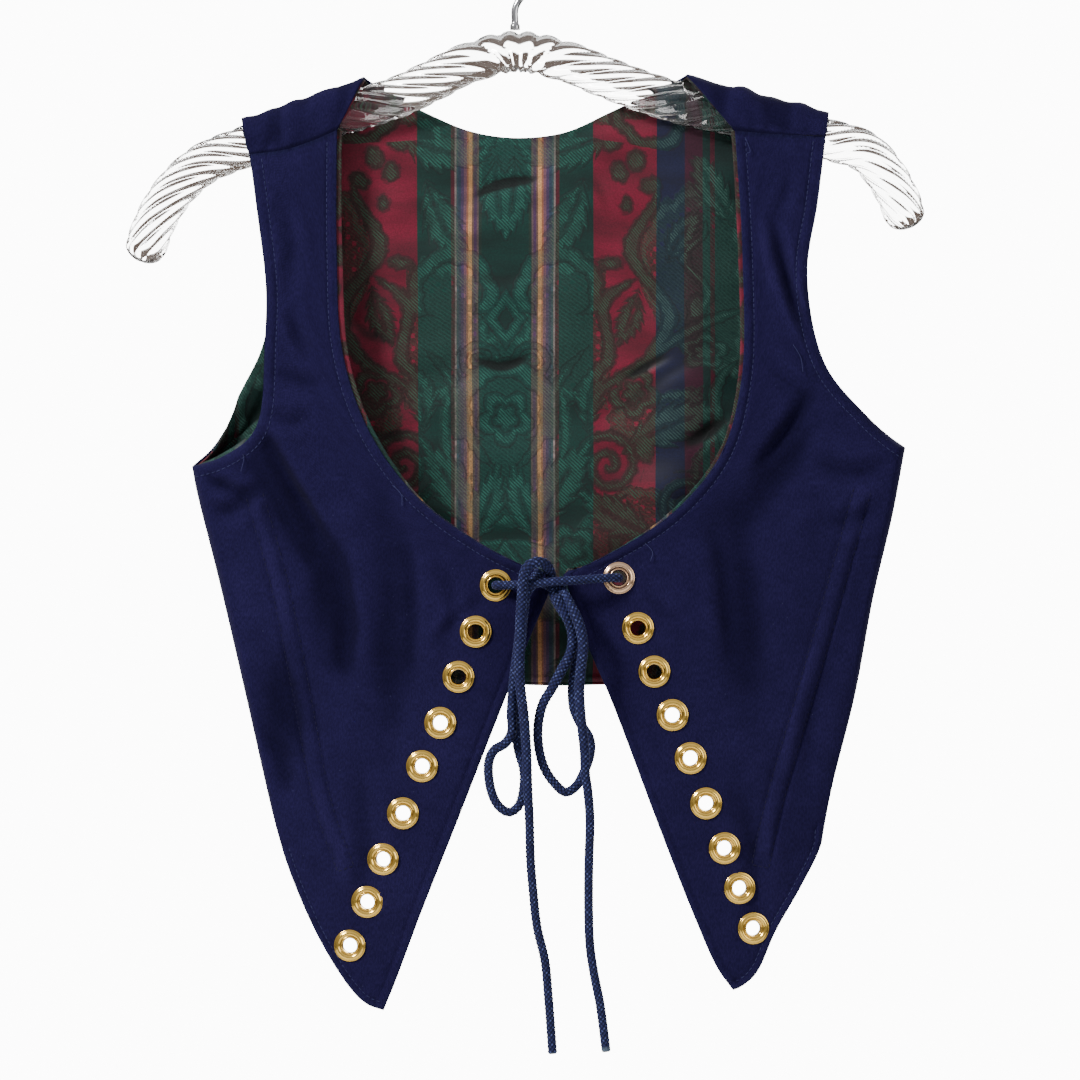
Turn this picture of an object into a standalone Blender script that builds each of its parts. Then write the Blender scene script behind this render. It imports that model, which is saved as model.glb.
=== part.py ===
"""A laced bodice with nine grommets a side, hanging on a clear hanger.

Frame: metres, +Z up, the front faces -Y. The origin is the inner top of the hanger's hook.
Tables are in millimetres. "across" runs to +X, and "drop" is measured down from the hanger's top.
"""
import math

import bmesh
import bpy
from mathutils import Vector
from mathutils.bvhtree import BVHTree

MM = 0.001

# Driving dimensions, in millimetres
HOOK_RISE = 55.0  # hook's inner top above the hanger's top
SHELL = 1.2  # twill with its interlining
LINING = 1.0  # brocade
GAP = 0.3  # between pieces
SEAM_HALF_GAP = 0.2  # each side of the shoulder seams
ARM_HALF_HEIGHT = 11.5
ARM_HALF_DEPTH = 6.0
ARM_CLEARANCE = 0.4
ROLL_HEIGHT = 14.0  # the strap's roll over the arm, from its ridge to its widest place
STRAP_DEPTH = ARM_HALF_DEPTH + ARM_CLEARANCE + SHELL + GAP + LINING
SIDE_ROUND = 7.0  # how far the cloth takes to turn at a side seam
ARMHOLE_ROUND = 30.0  # how far the back takes to turn along its armholes
LACE = 4.8  # diameter of the braided lace
HOLE = 5.1  # radius of the hole in the cloth for a grommet

# Outlines of the fronts: across, drop
FRONT_EDGES = {
    "left": {
        "hem": [(-126.1, 443.9), (-119.3, 462.8), (-105.3, 493.0), (-88.6, 518.9), (-79.9, 527.0),
                (-70.7, 530.3)],
        "side": [(-126.1, 443.9), (-130.8, 427.1), (-146.3, 359.1), (-160.4, 298.6),
                 (-172.8, 248.9), (-175.0, 236.5)],
        "armhole": [(-175.0, 236.5), (-160.4, 232.2), (-144.4, 221.9), (-138.2, 210.1),
                    (-135.5, 171.7), (-134.8, 140.4), (-140.4, 92.3), (-143.7, 68.0)],
        "centre": [(-70.7, 530.3), (-64.3, 514.6), (-50.8, 478.4), (-29.7, 425.0), (-4.9, 361.3),
                   (10.3, 324.0), (22.1, 296.5)],
        "neck": [(22.1, 296.5), (2.2, 288.9), (-21.1, 276.5), (-54.0, 251.6), (-78.8, 217.1),
                 (-92.9, 174.4), (-96.1, 119.9), (-96.1, 55.1)],
        "shoulder": [(-143.7, 68.0), (-125.3, 65.9), (-108.5, 60.5), (-96.1, 55.1)],
    },
    "right": {
        "hem": [(166.3, 433.1), (165.4, 442.0), (155.0, 463.1), (140.9, 487.6), (130.7, 509.8),
                (123.4, 516.8), (117.7, 519.5)],
        "side": [(166.3, 433.1), (172.6, 406.1), (184.1, 361.0), (194.4, 306.2), (204.7, 262.4),
                 (211.4, 226.3)],
        "armhole": [(211.4, 226.3), (201.4, 219.2), (190.1, 209.0), (167.7, 181.4), (158.1, 133.9),
                    (163.6, 94.5), (167.9, 58.3)],
        "centre": [(117.7, 519.5), (109.1, 507.6), (97.2, 481.1), (78.3, 433.1), (50.8, 360.5),
                   (39.1, 333.5), (25.9, 295.1)],
        "neck": [(25.9, 295.1), (47.0, 285.7), (84.2, 262.4), (110.7, 230.6), (122.0, 190.1),
                 (122.7, 122.6), (118.8, 55.6)],
        "shoulder": [(167.9, 58.3), (143.1, 57.5), (118.8, 55.6)],
    },
}

# Outline of the back: across, drop. Its side edges are the fronts' side seams.
BACK_EDGES = {
    "hem": [(-126.1, 443.9), (-104.2, 401.8), (-72.9, 368.3), (-35.1, 356.4), (24.3, 355.9),
            (72.9, 356.4), (116.1, 369.4), (145.8, 400.7), (166.3, 433.1)],
    "armhole_left": [(-175.0, 236.5), (-163.6, 225.7), (-148.5, 198.7), (-135.0, 169.0),
                     (-132.8, 141.5), (-138.2, 95.6), (-145.3, 63.1)],
    "armhole_right": [(211.4, 226.3), (192.0, 212.0), (169.5, 184.0), (157.1, 138.8),
                      (161.5, 95.6), (168.2, 58.8)],
    "neck": [(-81.5, 25.9), (-62.1, 37.3), (-45.4, 45.9), (-24.3, 54.5), (0.0, 58.1),
             (27.0, 55.1), (51.3, 44.3), (71.8, 34.6), (92.9, 24.8)],
}
RIDGE = {"left": [(-148.5, 49.1), (-81.5, 25.9)], "right": [(170.1, 44.8), (92.9, 24.8)]}

# Depth of the outer surface from the hanger's plane: share of the way up an edge, depth
FRONT_OUTER_DEPTH = [(0.0, 0.15), (0.5, 0.15), (0.55, 6.0), (0.6, 9.5), (0.67, 11.5), (0.8, 11.0),
                     (0.9, 10.0), (1.0, STRAP_DEPTH)]
FRONT_INNER_DEPTH = [(0.0, 14.0), (0.1, 17.5), (0.25, 20.5), (0.4, 21.0), (0.5, 20.5),
                     (0.6, 19.5), (0.7, 17.5), (0.8, 14.5), (0.9, 11.0), (1.0, STRAP_DEPTH)]
BACK_OUTER_DEPTH = [(0.0, 0.15), (0.5, 0.15), (0.55, 4.0), (0.6, 7.0), (0.67, 9.5), (0.8, 10.0),
                    (0.9, 9.5), (1.0, STRAP_DEPTH)]
BACK_MIDDLE_DEPTH = [(0.0, 12.0), (0.25, 13.5), (0.5, 13.5), (0.75, 11.5), (1.0, STRAP_DEPTH)]

# Largest folds, pressed in from outside: route as (across, drop), half width, depth
FOLDS = {
    "left": [
        ([(-140.4, 224.0), (-118.0, 262.0), (-99.9, 290.0), (-94.5, 340.0)], 11.0, 2.6),
        ([(-72.9, 250.0), (-65.0, 300.0), (-67.5, 392.0)], 12.0, 1.4),
        ([(-124.0, 340.0), (-122.0, 400.0)], 13.0, 1.6),
    ],
    "right": [
        ([(158.0, 206.0), (140.4, 240.0), (128.0, 262.0)], 11.0, 1.9),
        ([(116.1, 262.0), (123.0, 310.0), (126.9, 372.0)], 13.0, 1.5),
    ],
    "back": [
        ([(-60.0, 330.0), (-66.0, 220.0), (-78.0, 120.0)], 16.0, 1.8),
        ([(78.0, 335.0), (88.0, 230.0), (98.0, 120.0)], 16.0, 1.8),
        ([(150.0, 260.0), (118.0, 330.0)], 13.0, 1.4),
    ],
}

# How far the lining shows past the shell along an edge: share of the way up, width
LINING_SHOWS = {
    "left": {"armhole": [(0.0, 0.0), (0.5, 0.0), (0.53, 3.6), (0.62, 3.2), (0.7, 0.0), (1.0, 0.0)],
             "neck": [(0.0, 0.0), (0.62, 0.0), (0.7, 2.4), (0.85, 3.4), (1.0, 2.6)]},
    "right": {"armhole": [(0.0, 0.0), (1.0, 0.0)],
              "neck": [(0.0, 0.0), (0.55, 0.0), (0.65, 1.2), (0.9, 1.4), (1.0, 1.0)]},
}

# Grommets, from the neck down: across, drop
GROMMETS = {
    "left": [(-10.3, 300.9), (-21.1, 325.8), (-30.4, 350.1), (-40.2, 374.9), (-50.0, 398.2),
             (-60.3, 423.6), (-71.1, 448.4), (-79.7, 471.5), (-89.1, 495.2)],
    "right": [(55.9, 296.9), (66.2, 323.9), (75.0, 347.3), (84.8, 370.7), (94.5, 393.9),
              (102.9, 418.3), (112.9, 442.5), (121.1, 464.1), (128.6, 485.9)],
}
# Profile of a grommet and its washer, on the cloth's outer face: radius, height
GROMMET_PROFILE = [(8.7, 0.35), (7.4, 1.55), (5.2, 1.55), (3.95, 0.4), (3.95, -3.5), (7.3, -3.5),
                   (7.3, -2.85), (4.75, -2.85), (4.75, 0.35)]

# Hanger's centre line outside the straps: across, drop
HANGER_MIDDLE = [(-62.1, 35.8), (-45.9, 28.2), (-24.3, 17.8), (0.0, 11.9), (24.3, 16.2),
                 (48.6, 25.6), (67.5, 32.8)]
HANGER_TIPS = {"left": [(-169.0, 73.0), (-184.0, 86.5), (-194.5, 103.0), (-202.6, 126.0)],
               "right": [(189.5, 66.2), (201.0, 79.0), (208.5, 93.0), (213.0, 108.0)]}

# Lace routes in front of the cloth: across, forward, drop
LACE_ROUTES = {
    "lace_end_left": [
        (8.6, 37.0, 290.8), (5.0, 35.8, 297.0), (4.0, 34.8, 306.0), (3.0, 34.4, 318.0),
        (2.5, 34.4, 334.0), (2.3, 34.4, 350.0), (4.9, 34.4, 370.4),
        (6.3, 34.2, 389.3), (6.9, 33.8, 407.7), (7.8, 33.0, 426.6), (8.5, 31.8, 449.3),
        (9.9, 30.6, 466.0), (11.9, 29.4, 483.8), (16.2, 28.2, 502.7), (18.0, 27.4, 521.6),
        (20.3, 26.4, 552.4)],
    "lace_end_right": [
        (32.4, 35.0, 314.0), (35.6, 34.4, 325.0), (36.0, 34.4, 334.0),
        (34.4, 34.4, 345.0), (34.3, 34.4, 357.5), (36.0, 34.4, 376.9), (37.3, 34.2, 389.3),
        (37.8, 33.9, 401.8), (39.1, 33.5, 410.9), (40.3, 32.9, 426.6), (39.7, 31.7, 449.3),
        (39.6, 30.2, 476.3), (40.4, 29.2, 495.2), (42.7, 28.4, 510.3), (45.7, 27.6, 525.4),
        (49.1, 26.4, 551.3)],
    "lace_loop_left": [
        (5.6, 29.4, 316.5), (0.8, 29.3, 338.0), (-1.4, 29.3, 357.0),
        (-1.8, 29.3, 370.0), (-1.6, 29.0, 379.5), (-5.2, 28.4, 385.6), (-11.1, 27.6, 389.3),
        (-13.9, 27.0, 395.3), (-13.9, 26.4, 405.0), (-11.7, 25.8, 414.2), (-8.1, 25.2, 420.1),
        (-3.0, 24.8, 422.8), (1.9, 24.4, 419.6), (4.4, 24.2, 412.0), (4.9, 24.1, 400.7),
        (1.7, 24.0, 388.4), (0.6, 24.0, 376.0), (1.4, 24.1, 352.0), (4.6, 24.2, 330.0),
        (9.0, 24.2, 316.0)],
    "lace_loop_right": [
        (27.2, 31.4, 316.0), (31.0, 29.3, 327.0), (30.0, 29.3, 337.0),
        (25.8, 29.3, 345.0), (20.0, 29.3, 355.9), (15.0, 29.1, 364.5), (12.4, 28.6, 376.9),
        (13.1, 28.0, 389.3), (16.2, 27.2, 399.6), (21.8, 26.4, 407.7), (27.3, 25.6, 412.0),
        (32.6, 25.0, 409.1), (36.9, 24.6, 401.8), (40.6, 24.3, 390.4), (40.0, 24.1, 382.9),
        (35.6, 24.0, 375.8), (31.9, 24.0, 367.6), (31.0, 24.0, 357.0), (33.0, 24.1, 341.0),
        (31.6, 24.2, 328.0), (28.6, 24.2, 316.0)],
}
KNOT_CENTRE = (20.0, 30.4, 298.4)  # across, forward, drop
KNOT_HALF = (10.0, 8.4, 9.5)
KNOT_GAP = 0.45
KNOT_LEAD = 3.4  # how far a strand runs straight out of the knot
# Where each strand leaves the knot, as shares of the knot's half sizes; a loop leaves it twice
KNOT_EXITS = {
    "across_left": [(-0.96, -0.28, 0.0)],
    "across_right": [(0.96, -0.28, 0.0)],
    "lace_end_left": [(-0.47, 0.65, -0.60)],
    "lace_end_right": [(0.75, 0.45, 0.48)],
    "lace_loop_left": [(-0.64, 0.25, 0.73), (-0.45, -0.62, 0.64)],
    "lace_loop_right": [(0.20, 0.30, 0.93), (0.48, -0.62, 0.62)],
}
LACE_BEND = 4.6  # radius of the lace's bend through a grommet
LACE_SPACING = 12.5

# Counts of the walls' grids
FRONT_ROWS_LOW, FRONT_ROWS_HIGH, FRONT_COLUMNS = 12, 8, 9
BACK_ROWS_LOW, BACK_ROWS_HIGH, BACK_NECK_COLUMNS = 8, 6, 7
ROUND_STEPS = 3
ROLL_STEPS = 4
STRAP_COLUMNS = 3
STRAP_WIDTH = 72.0

COLOURS = {  # linear red, green, blue, roughness, metallic
    "twill": (0.012, 0.012, 0.045, 0.85, 0.0),
    "brocade": (0.06, 0.03, 0.03, 0.5, 0.0),
    "brass": (0.70, 0.46, 0.16, 0.3, 1.0),
    "lace": (0.012, 0.018, 0.06, 0.8, 0.0),
    "clear_plastic": (0.9, 0.9, 0.88, 0.05, 0.0),
    "steel": (0.6, 0.6, 0.6, 0.25, 1.0),
}


def clear_scene():
    for ob in list(bpy.data.objects):
        bpy.data.objects.remove(ob, do_unlink=True)


def world(across, forward, drop):
    """A place in metres: forward is towards the viewer, and drop is below the hanger's top."""
    return Vector((across, -forward, -drop - HOOK_RISE)) * MM


def make_material(name):
    red, green, blue, roughness, metallic = COLOURS[name]
    material = bpy.data.materials.new(name)
    material.use_nodes = True
    shader = material.node_tree.nodes["Principled BSDF"]
    shader.inputs["Base Color"].default_value = (red, green, blue, 1.0)
    shader.inputs["Roughness"].default_value = roughness
    shader.inputs["Metallic"].default_value = metallic
    material.diffuse_color = (red, green, blue, 1.0)
    return material


def add_object(name, mesh, material):
    ob = bpy.data.objects.new(name, mesh)
    bpy.context.scene.collection.objects.link(ob)
    mesh.materials.append(material)
    return ob


def smooth_path(points, steps=10):
    """A fine polyline on a smooth curve through the points."""
    points = [Vector(p) for p in points]
    if len(points) == 2:
        return points
    ends = [2 * points[0] - points[1]] + points + [2 * points[-1] - points[-2]]
    path = []
    for a, b, c, d in zip(ends, ends[1:], ends[2:], ends[3:]):
        t1 = max((b - a).length, 1e-6) ** 0.5
        t2 = t1 + max((c - b).length, 1e-6) ** 0.5
        t3 = t2 + max((d - c).length, 1e-6) ** 0.5
        for k in range(steps):
            t = t1 + (t2 - t1) * k / steps
            ab, bc, cd = a.lerp(b, t / t1), b.lerp(c, (t - t1) / (t2 - t1)), c.lerp(d, (t - t2) / (t3 - t2))
            path.append(ab.lerp(bc, t / t2).lerp(bc.lerp(cd, (t - t1) / (t3 - t1)), (t - t1) / (t2 - t1)))
    return path + [points[-1]]


def along(path, share):
    """The place on a polyline at a share of its length."""
    lengths = [(b - a).length for a, b in zip(path, path[1:])]
    left = share * sum(lengths)
    for a, b, length in zip(path, path[1:], lengths):
        if left <= length:
            return a.lerp(b, left / length if length else 0.0)
        left -= length
    return path[-1].copy()


def from_table(table, t):
    """A value read smoothly from rows of (share, value)."""
    for (t0, a), (t1, b) in zip(table, table[1:]):
        if t <= t1:
            s = (t - t0) / (t1 - t0) if t1 > t0 else 0.0
            return a + (b - a) * s * s * (3 - 2 * s) if abs(b - a) < 3 else a + (b - a) * s
    return table[-1][1]


def distance_to_route(route, across, drop):
    """Distance to a route, and the share of the way along it."""
    here = Vector((across, drop))
    spans = list(zip([Vector(p) for p in route], [Vector(p) for p in route[1:]]))
    whole = sum((b - a).length for a, b in spans)
    best, done = (1e9, 0.0), 0.0
    for a, b in spans:
        t = min(max((here - a).dot(b - a) / (b - a).length_squared, 0.0), 1.0)
        gap = (here - a.lerp(b, t)).length
        best = min(best, (gap, (done + t * (b - a).length) / whole))
        done += (b - a).length
    return best


def fold_depth(side, across, drop):
    """How far the largest folds press the cloth in."""
    total = 0.0
    for route, half_width, depth in FOLDS[side]:
        gap, share = distance_to_route(route, across, drop)
        total += depth * math.exp(-((gap / half_width) ** 2)) * (0.45 + 0.55 * math.sin(math.pi * share))
    return total


def quarter_round(distance):
    """0 at an edge to 1 where the cloth has turned flat, starting square to the edge."""
    s = min(max(distance / SIDE_ROUND, 0.0), 1.0)
    return math.sqrt(1 - (1 - s) ** 2)


def turn_share(distance, v):
    """How far the back has turned flat: sharply at the side seam, softly along the armhole."""
    soft = min(max((v - 0.5) / 0.12, 0.0), 1.0)
    s = min(distance / ARMHOLE_ROUND, 1.0)
    return quarter_round(distance) * (1 - soft) + s * s * (3 - 2 * s) * soft


class Patch:
    """A panel between four edges, blended from them. u runs across it and v up it."""

    def __init__(self, bottom, top, start, end):
        self.bottom, self.top = smooth_path(bottom), smooth_path(top)
        self.start = [smooth_path(part) for part in start]
        self.end = [smooth_path(part) for part in end]

    def edge(self, halves, v):
        return along(halves[0], v * 2) if v <= 0.5 else along(halves[1], v * 2 - 1)

    def width(self, v):
        return (self.edge(self.end, v) - self.edge(self.start, v)).length

    def point(self, u, v):
        low, high = along(self.bottom, u), along(self.top, u)
        left, right = self.edge(self.start, v), self.edge(self.end, v)
        corners = (self.bottom[0].lerp(self.bottom[-1], u)).lerp(self.top[0].lerp(self.top[-1], u), v)
        return low.lerp(high, v) + left.lerp(right, u) - corners


def front_patch(side):
    e = FRONT_EDGES[side]
    return Patch(e["hem"], e["shoulder"], (e["side"], e["armhole"]), (e["centre"], e["neck"]))


def front_point(side, patch, u, v):
    """A place on a front's outer face."""
    across, drop = patch.point(u, v)
    outer, inner = from_table(FRONT_OUTER_DEPTH, v), from_table(FRONT_INNER_DEPTH, v)
    turned = 0.42 * min(1.0, (2 - 2 * v)) ** 2
    share = turned * quarter_round(u * patch.width(v)) * (1 - u) + u * (1 + turned * (1 - u))
    forward = outer + (inner - outer) * share
    pressed = fold_depth(side, across, drop) * min(1.0, u * 8) * min(1.0, (1 - u) * 6)
    return Vector((across, forward - pressed, drop))


def shares(low_rows, high_rows):
    """Shares of the way up, with a row at the underarm."""
    return [0.5 * k / low_rows for k in range(low_rows)] + [
        0.5 + 0.5 * k / high_rows for k in range(high_rows + 1)]


def round_distances(steps):
    """Distances from a side seam that step evenly round the turn."""
    return [SIDE_ROUND * (1 - math.cos(0.5 * math.pi * k / steps)) for k in range(steps + 1)]


def front_grid(side):
    patch = front_patch(side)
    rows = []
    for v in shares(FRONT_ROWS_LOW, FRONT_ROWS_HIGH):
        turn = [d / patch.width(v) for d in round_distances(ROUND_STEPS)]
        rest = [turn[-1] + (1 - turn[-1]) * k / FRONT_COLUMNS for k in range(1, FRONT_COLUMNS + 1)]
        rows.append([front_point(side, patch, u, v) for u in turn + rest])
    for point in rows[-1]:
        point.z += SEAM_HALF_GAP
    return rows


def back_columns():
    """Each column's side, or None in the neck, with its share of that strap or of the neck."""
    turn = [d / STRAP_WIDTH for d in round_distances(ROUND_STEPS)]
    strap = turn + [turn[-1] + (1 - turn[-1]) * k / STRAP_COLUMNS for k in range(1, STRAP_COLUMNS + 1)]
    near = [0.028, 0.065]
    count = BACK_NECK_COLUMNS
    neck = near + [0.065 + 0.87 * k / count for k in range(1, count)] + [1 - s for s in near[::-1]]
    return ([("left", s) for s in strap] + [(None, s) for s in neck]
            + [("right", s) for s in strap[::-1]])


def back_top(column):
    """The ridge of a strap, or the neck's edge."""
    side, share = column
    if side:
        return Vector(RIDGE[side][0]).lerp(Vector(RIDGE[side][1]), share)
    return along(BACK_NECK, share)


def over_arm(column):
    """1 on a strap, falling to 0 beside it, where the neck's edge lies behind the hanger."""
    side, share = column
    if side:
        return 1.0
    beside = min(share, 1 - share) / 0.065
    return max(0.0, 1 - beside) ** 1.8


def spread(spots, width):
    """Shares across the back whose turns at the sides keep their width."""
    half = len(spots) // 2
    edge = [d / width for d in round_distances(ROUND_STEPS)]
    last = ROUND_STEPS
    kept = [edge[-1] + (0.5 - edge[-1]) * (s - spots[last]) / (0.5 - spots[last]) for s in spots]
    far = [0.5 + (0.5 - edge[-1]) * (s - 0.5) / (spots[-1 - last] - 0.5) for s in spots]
    return edge[:-1] + kept[last:half] + far[half:-1 - last] + [1 - s for s in edge[::-1]]


def back_grid():
    columns = back_columns()
    tops = [back_top(c) for c in columns]
    slant = [Vector((3.2 * (1 - s) if side == "left" else -1.9 * (1 - s) if side else 0.0, ROLL_HEIGHT))
             for side, s in columns]
    shoulder = [top + lean for top, lean in zip(tops, slant)]
    spots = [0.0]
    for a, b in zip(shoulder, shoulder[1:]):
        spots.append(spots[-1] + (b - a).length)
    spots = [s / spots[-1] for s in spots]
    sides = FRONT_EDGES["left"]["side"], FRONT_EDGES["right"]["side"]
    patch = Patch(BACK_EDGES["hem"], [tuple(p) for p in shoulder],
                  (sides[0], BACK_EDGES["armhole_left"]), (sides[1], BACK_EDGES["armhole_right"]))
    patch.top = shoulder
    patch.start[1][-1], patch.end[1][-1] = shoulder[0].copy(), shoulder[-1].copy()
    top_length = sum((b - a).length for a, b in zip(shoulder, shoulder[1:]))
    rows = []
    for v in shares(BACK_ROWS_LOW, BACK_ROWS_HIGH):
        width = patch.width(v)
        row = []
        for u in spread(spots, width + (top_length - width) * max(0.0, 10 * v - 9)):
            across, drop = patch.point(u, v)
            outer, middle = from_table(BACK_OUTER_DEPTH, v), from_table(BACK_MIDDLE_DEPTH, v)
            turned = turn_share(min(u, 1 - u) * width, v)
            back = outer + (middle - outer) * turned
            back -= fold_depth("back", across, drop) * turned * math.sin(math.pi * v) ** 0.5
            row.append(Vector((across, -back, drop)))
        rows.append(row)
    for k in range(1, ROLL_STEPS + 1):
        angle = 0.5 * math.pi * (1 - k / ROLL_STEPS)
        down = 1 - math.cos(angle)
        row = []
        for column, top, lean in zip(columns, tops, slant):
            place = top + lean * down
            on_arm = over_arm(column)
            back = STRAP_DEPTH * (math.sin(angle) * on_arm + 1 - on_arm)
            row.append(Vector((place.x, -back, place.y)))
        rows.append(row)
    seams = {side: smooth_path(FRONT_EDGES[side]["shoulder"]) for side in RIDGE}
    for k in range(1, ROLL_STEPS + 2):
        row = []
        for (side, share), top in zip(columns, tops):
            if not side:
                row.append(None)
                continue
            seam = along(seams[side], share) - Vector((0.0, SEAM_HALF_GAP))
            angle = 0.5 * math.pi * min(k / ROLL_STEPS, 1.0)
            down = min(ROLL_HEIGHT, 0.85 * (seam.y - top.y)) * (1 - math.cos(angle))
            part = 1.0 if k > ROLL_STEPS else down / (seam.y - top.y)
            place = top.lerp(seam, part)
            row.append(Vector((place.x, STRAP_DEPTH * math.sin(angle), place.y)))
        rows.append(row)
    return rows


def in_world(grid):
    return [[p and world(*p) for p in row] for row in grid]


def normals(grid, outward, seam_rows, last_row_flat):
    """Outward normals of a grid. Those on the side and shoulder seams lie in the seams' planes."""
    high, wide = len(grid), len(grid[0])
    found = []
    for i in range(high):
        row = []
        for j in range(wide):
            here = grid[i][j]
            if here is None:
                row.append(None)
                continue
            up = grid[i + 1][j] if i + 1 < high and grid[i + 1][j] else here
            down = grid[i - 1][j] if i else here
            right = grid[i][j + 1] if j + 1 < wide and grid[i][j + 1] else here
            left = grid[i][j - 1] if j and grid[i][j - 1] else here
            normal = (right - left).cross(up - down) * outward
            if i <= seam_rows and (j == 0 or j == wide - 1 and last_row_flat == "both"):
                normal.y = 0.0
            if i == high - 1:
                normal = Vector((0.0, -1.0, 0.0))
            row.append(normal.normalized())
        found.append(row)
    return found


def moved(grid, directions, distance):
    return [[p and p + n * (distance * MM) for p, n in zip(row, way)]
            for row, way in zip(grid, directions)]


def wall_mesh(name, outer, inner):
    """A closed wall between two grids. Every quad is split the same way, so layers nest."""
    high, wide = len(outer), len(outer[0])
    bm = bmesh.new()
    faces = {0: [[p and bm.verts.new(p) for p in row] for row in outer],
             1: [[p and bm.verts.new(p) for p in row] for row in inner]}
    edges = {}
    for i in range(high - 1):
        for j in range(wide - 1):
            spots = [(i, j), (i, j + 1), (i + 1, j + 1), (i + 1, j)]
            if any(outer[a][b] is None for a, b in spots):
                continue
            for tri in (spots[:3], [spots[0], spots[2], spots[3]]):
                bm.faces.new([faces[0][a][b] for a, b in tri])
                bm.faces.new([faces[1][a][b] for a, b in tri[::-1]])
                for a, b in zip(tri, tri[1:] + tri[:1]):
                    edges[a, b] = not edges.pop((b, a), False)
    for (a, b), rim in list(edges.items()):
        if rim and (b, a) not in edges:
            bm.faces.new([faces[0][b[0]][b[1]], faces[0][a[0]][a[1]],
                          faces[1][a[0]][a[1]], faces[1][b[0]][b[1]]])
    bmesh.ops.recalc_face_normals(bm, faces=bm.faces)
    mesh = bpy.data.meshes.new(name)
    bm.to_mesh(mesh)
    bm.free()
    return mesh


def show_lining(grid, widths, low_rows, high_rows):
    """Lets the lining run past the shell at a front's armhole and neck."""
    rows = [row[:] for row in grid]
    for row, v in zip(rows, shares(low_rows, high_rows)):
        row[0] = row[0] + (row[0] - row[1]).normalized() * from_table(widths["armhole"], v) * MM
        row[-1] = row[-1] + (row[-1] - row[-2]).normalized() * from_table(widths["neck"], v) * MM
    return rows


def grommet_places(grid, spots):
    """Each grommet's centre and outward direction, seated on the cloth's outer face."""
    corners = [p for row in grid for p in row]
    wide = len(grid[0])
    quads = [(i * wide + j, i * wide + j + 1, (i + 1) * wide + j + 1, (i + 1) * wide + j)
             for i in range(len(grid) - 1) for j in range(wide - 1)]
    surface = BVHTree.FromPolygons(corners, quads)
    places = []
    for across, drop in spots:
        ring = []
        for k in range(12):
            turn = 2 * math.pi * k / 12
            start = world(across + 7.5 * math.cos(turn), 60.0, drop + 7.5 * math.sin(turn))
            ring.append(surface.ray_cast(start, Vector((0, 1, 0)))[0])
        centre = sum(ring, Vector()) / len(ring)
        facing = sum(((a - centre).cross(b - centre) for a, b in zip(ring, ring[1:] + ring[:1])), Vector())
        facing = facing if facing.y < 0 else -facing
        places.append((centre, facing.normalized()))
    return places


def turned_mesh(name, profile, segments):
    """A closed ring turned about Z from rows of (radius, height)."""
    bm = bmesh.new()
    rings = []
    for k in range(segments):
        turn = 2 * math.pi * k / segments
        rings.append([bm.verts.new((r * MM * math.cos(turn), r * MM * math.sin(turn), h * MM))
                      for r, h in profile])
    for a, b in zip(rings, rings[1:] + rings[:1]):
        for k in range(len(profile)):
            n = (k + 1) % len(profile)
            bm.faces.new((a[k], b[k], b[n], a[n]))
    bmesh.ops.recalc_face_normals(bm, faces=bm.faces)
    mesh = bpy.data.meshes.new(name)
    bm.to_mesh(mesh)
    bm.free()
    mesh.shade_smooth()
    return mesh


def facing_rotation(direction):
    return direction.to_track_quat("Z", "Y")


def add_grommets(side, places, material):
    mesh = turned_mesh(f"grommet_{side}", GROMMET_PROFILE, 12)
    for number, (centre, facing) in enumerate(places, 1):
        ob = bpy.data.objects.new(f"grommet_{side}_{number}", mesh)
        bpy.context.scene.collection.objects.link(ob)
        ob.location = centre
        ob.rotation_euler = facing_rotation(facing).to_euler()
    mesh.materials.append(material)


def hole_cutter(side, places):
    """Rods through the cloth, one for each grommet."""
    bm = bmesh.new()
    for centre, facing in places:
        rod = bmesh.ops.create_cone(bm, cap_ends=True, segments=12, radius1=HOLE * MM,
                                    radius2=HOLE * MM, depth=12 * MM)
        bmesh.ops.rotate(bm, verts=rod["verts"], cent=(0, 0, 0), matrix=facing_rotation(facing).to_matrix())
        bmesh.ops.translate(bm, verts=rod["verts"], vec=centre)
    mesh = bpy.data.meshes.new(f"cutter_{side}")
    bm.to_mesh(mesh)
    bm.free()
    cutter = bpy.data.objects.new(f"cutter_{side}", mesh)
    bpy.context.scene.collection.objects.link(cutter)
    cutter.hide_render = True
    cutter.display_type = "WIRE"
    return cutter


def cut(ob, cutter):
    modifier = ob.modifiers.new("grommet holes", "BOOLEAN")
    modifier.operation = "DIFFERENCE"
    modifier.object = cutter


def build_front(side, materials):
    """Returns the grommets' places on this front."""
    grid = in_world(front_grid(side))
    outward = normals(grid, 1 if side == "left" else -1, FRONT_ROWS_LOW, "first")
    lining = show_lining(moved(grid, outward, -SHELL - GAP), LINING_SHOWS[side],
                         FRONT_ROWS_LOW, FRONT_ROWS_HIGH)
    inside = show_lining(moved(grid, outward, -SHELL - GAP - LINING), LINING_SHOWS[side],
                         FRONT_ROWS_LOW, FRONT_ROWS_HIGH)
    shell_mesh = wall_mesh(f"front_{side}_shell", grid, moved(grid, outward, -SHELL))
    shell = add_object(f"front_{side}_shell", shell_mesh, materials["twill"])
    lining_mesh = wall_mesh(f"front_{side}_lining", lining, inside)
    lining = add_object(f"front_{side}_lining", lining_mesh, materials["brocade"])
    places = grommet_places(grid, GROMMETS[side])
    cutter = hole_cutter(side, places)
    cut(shell, cutter)
    cut(lining, cutter)
    add_grommets(side, places, materials["brass"])
    return places


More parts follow.
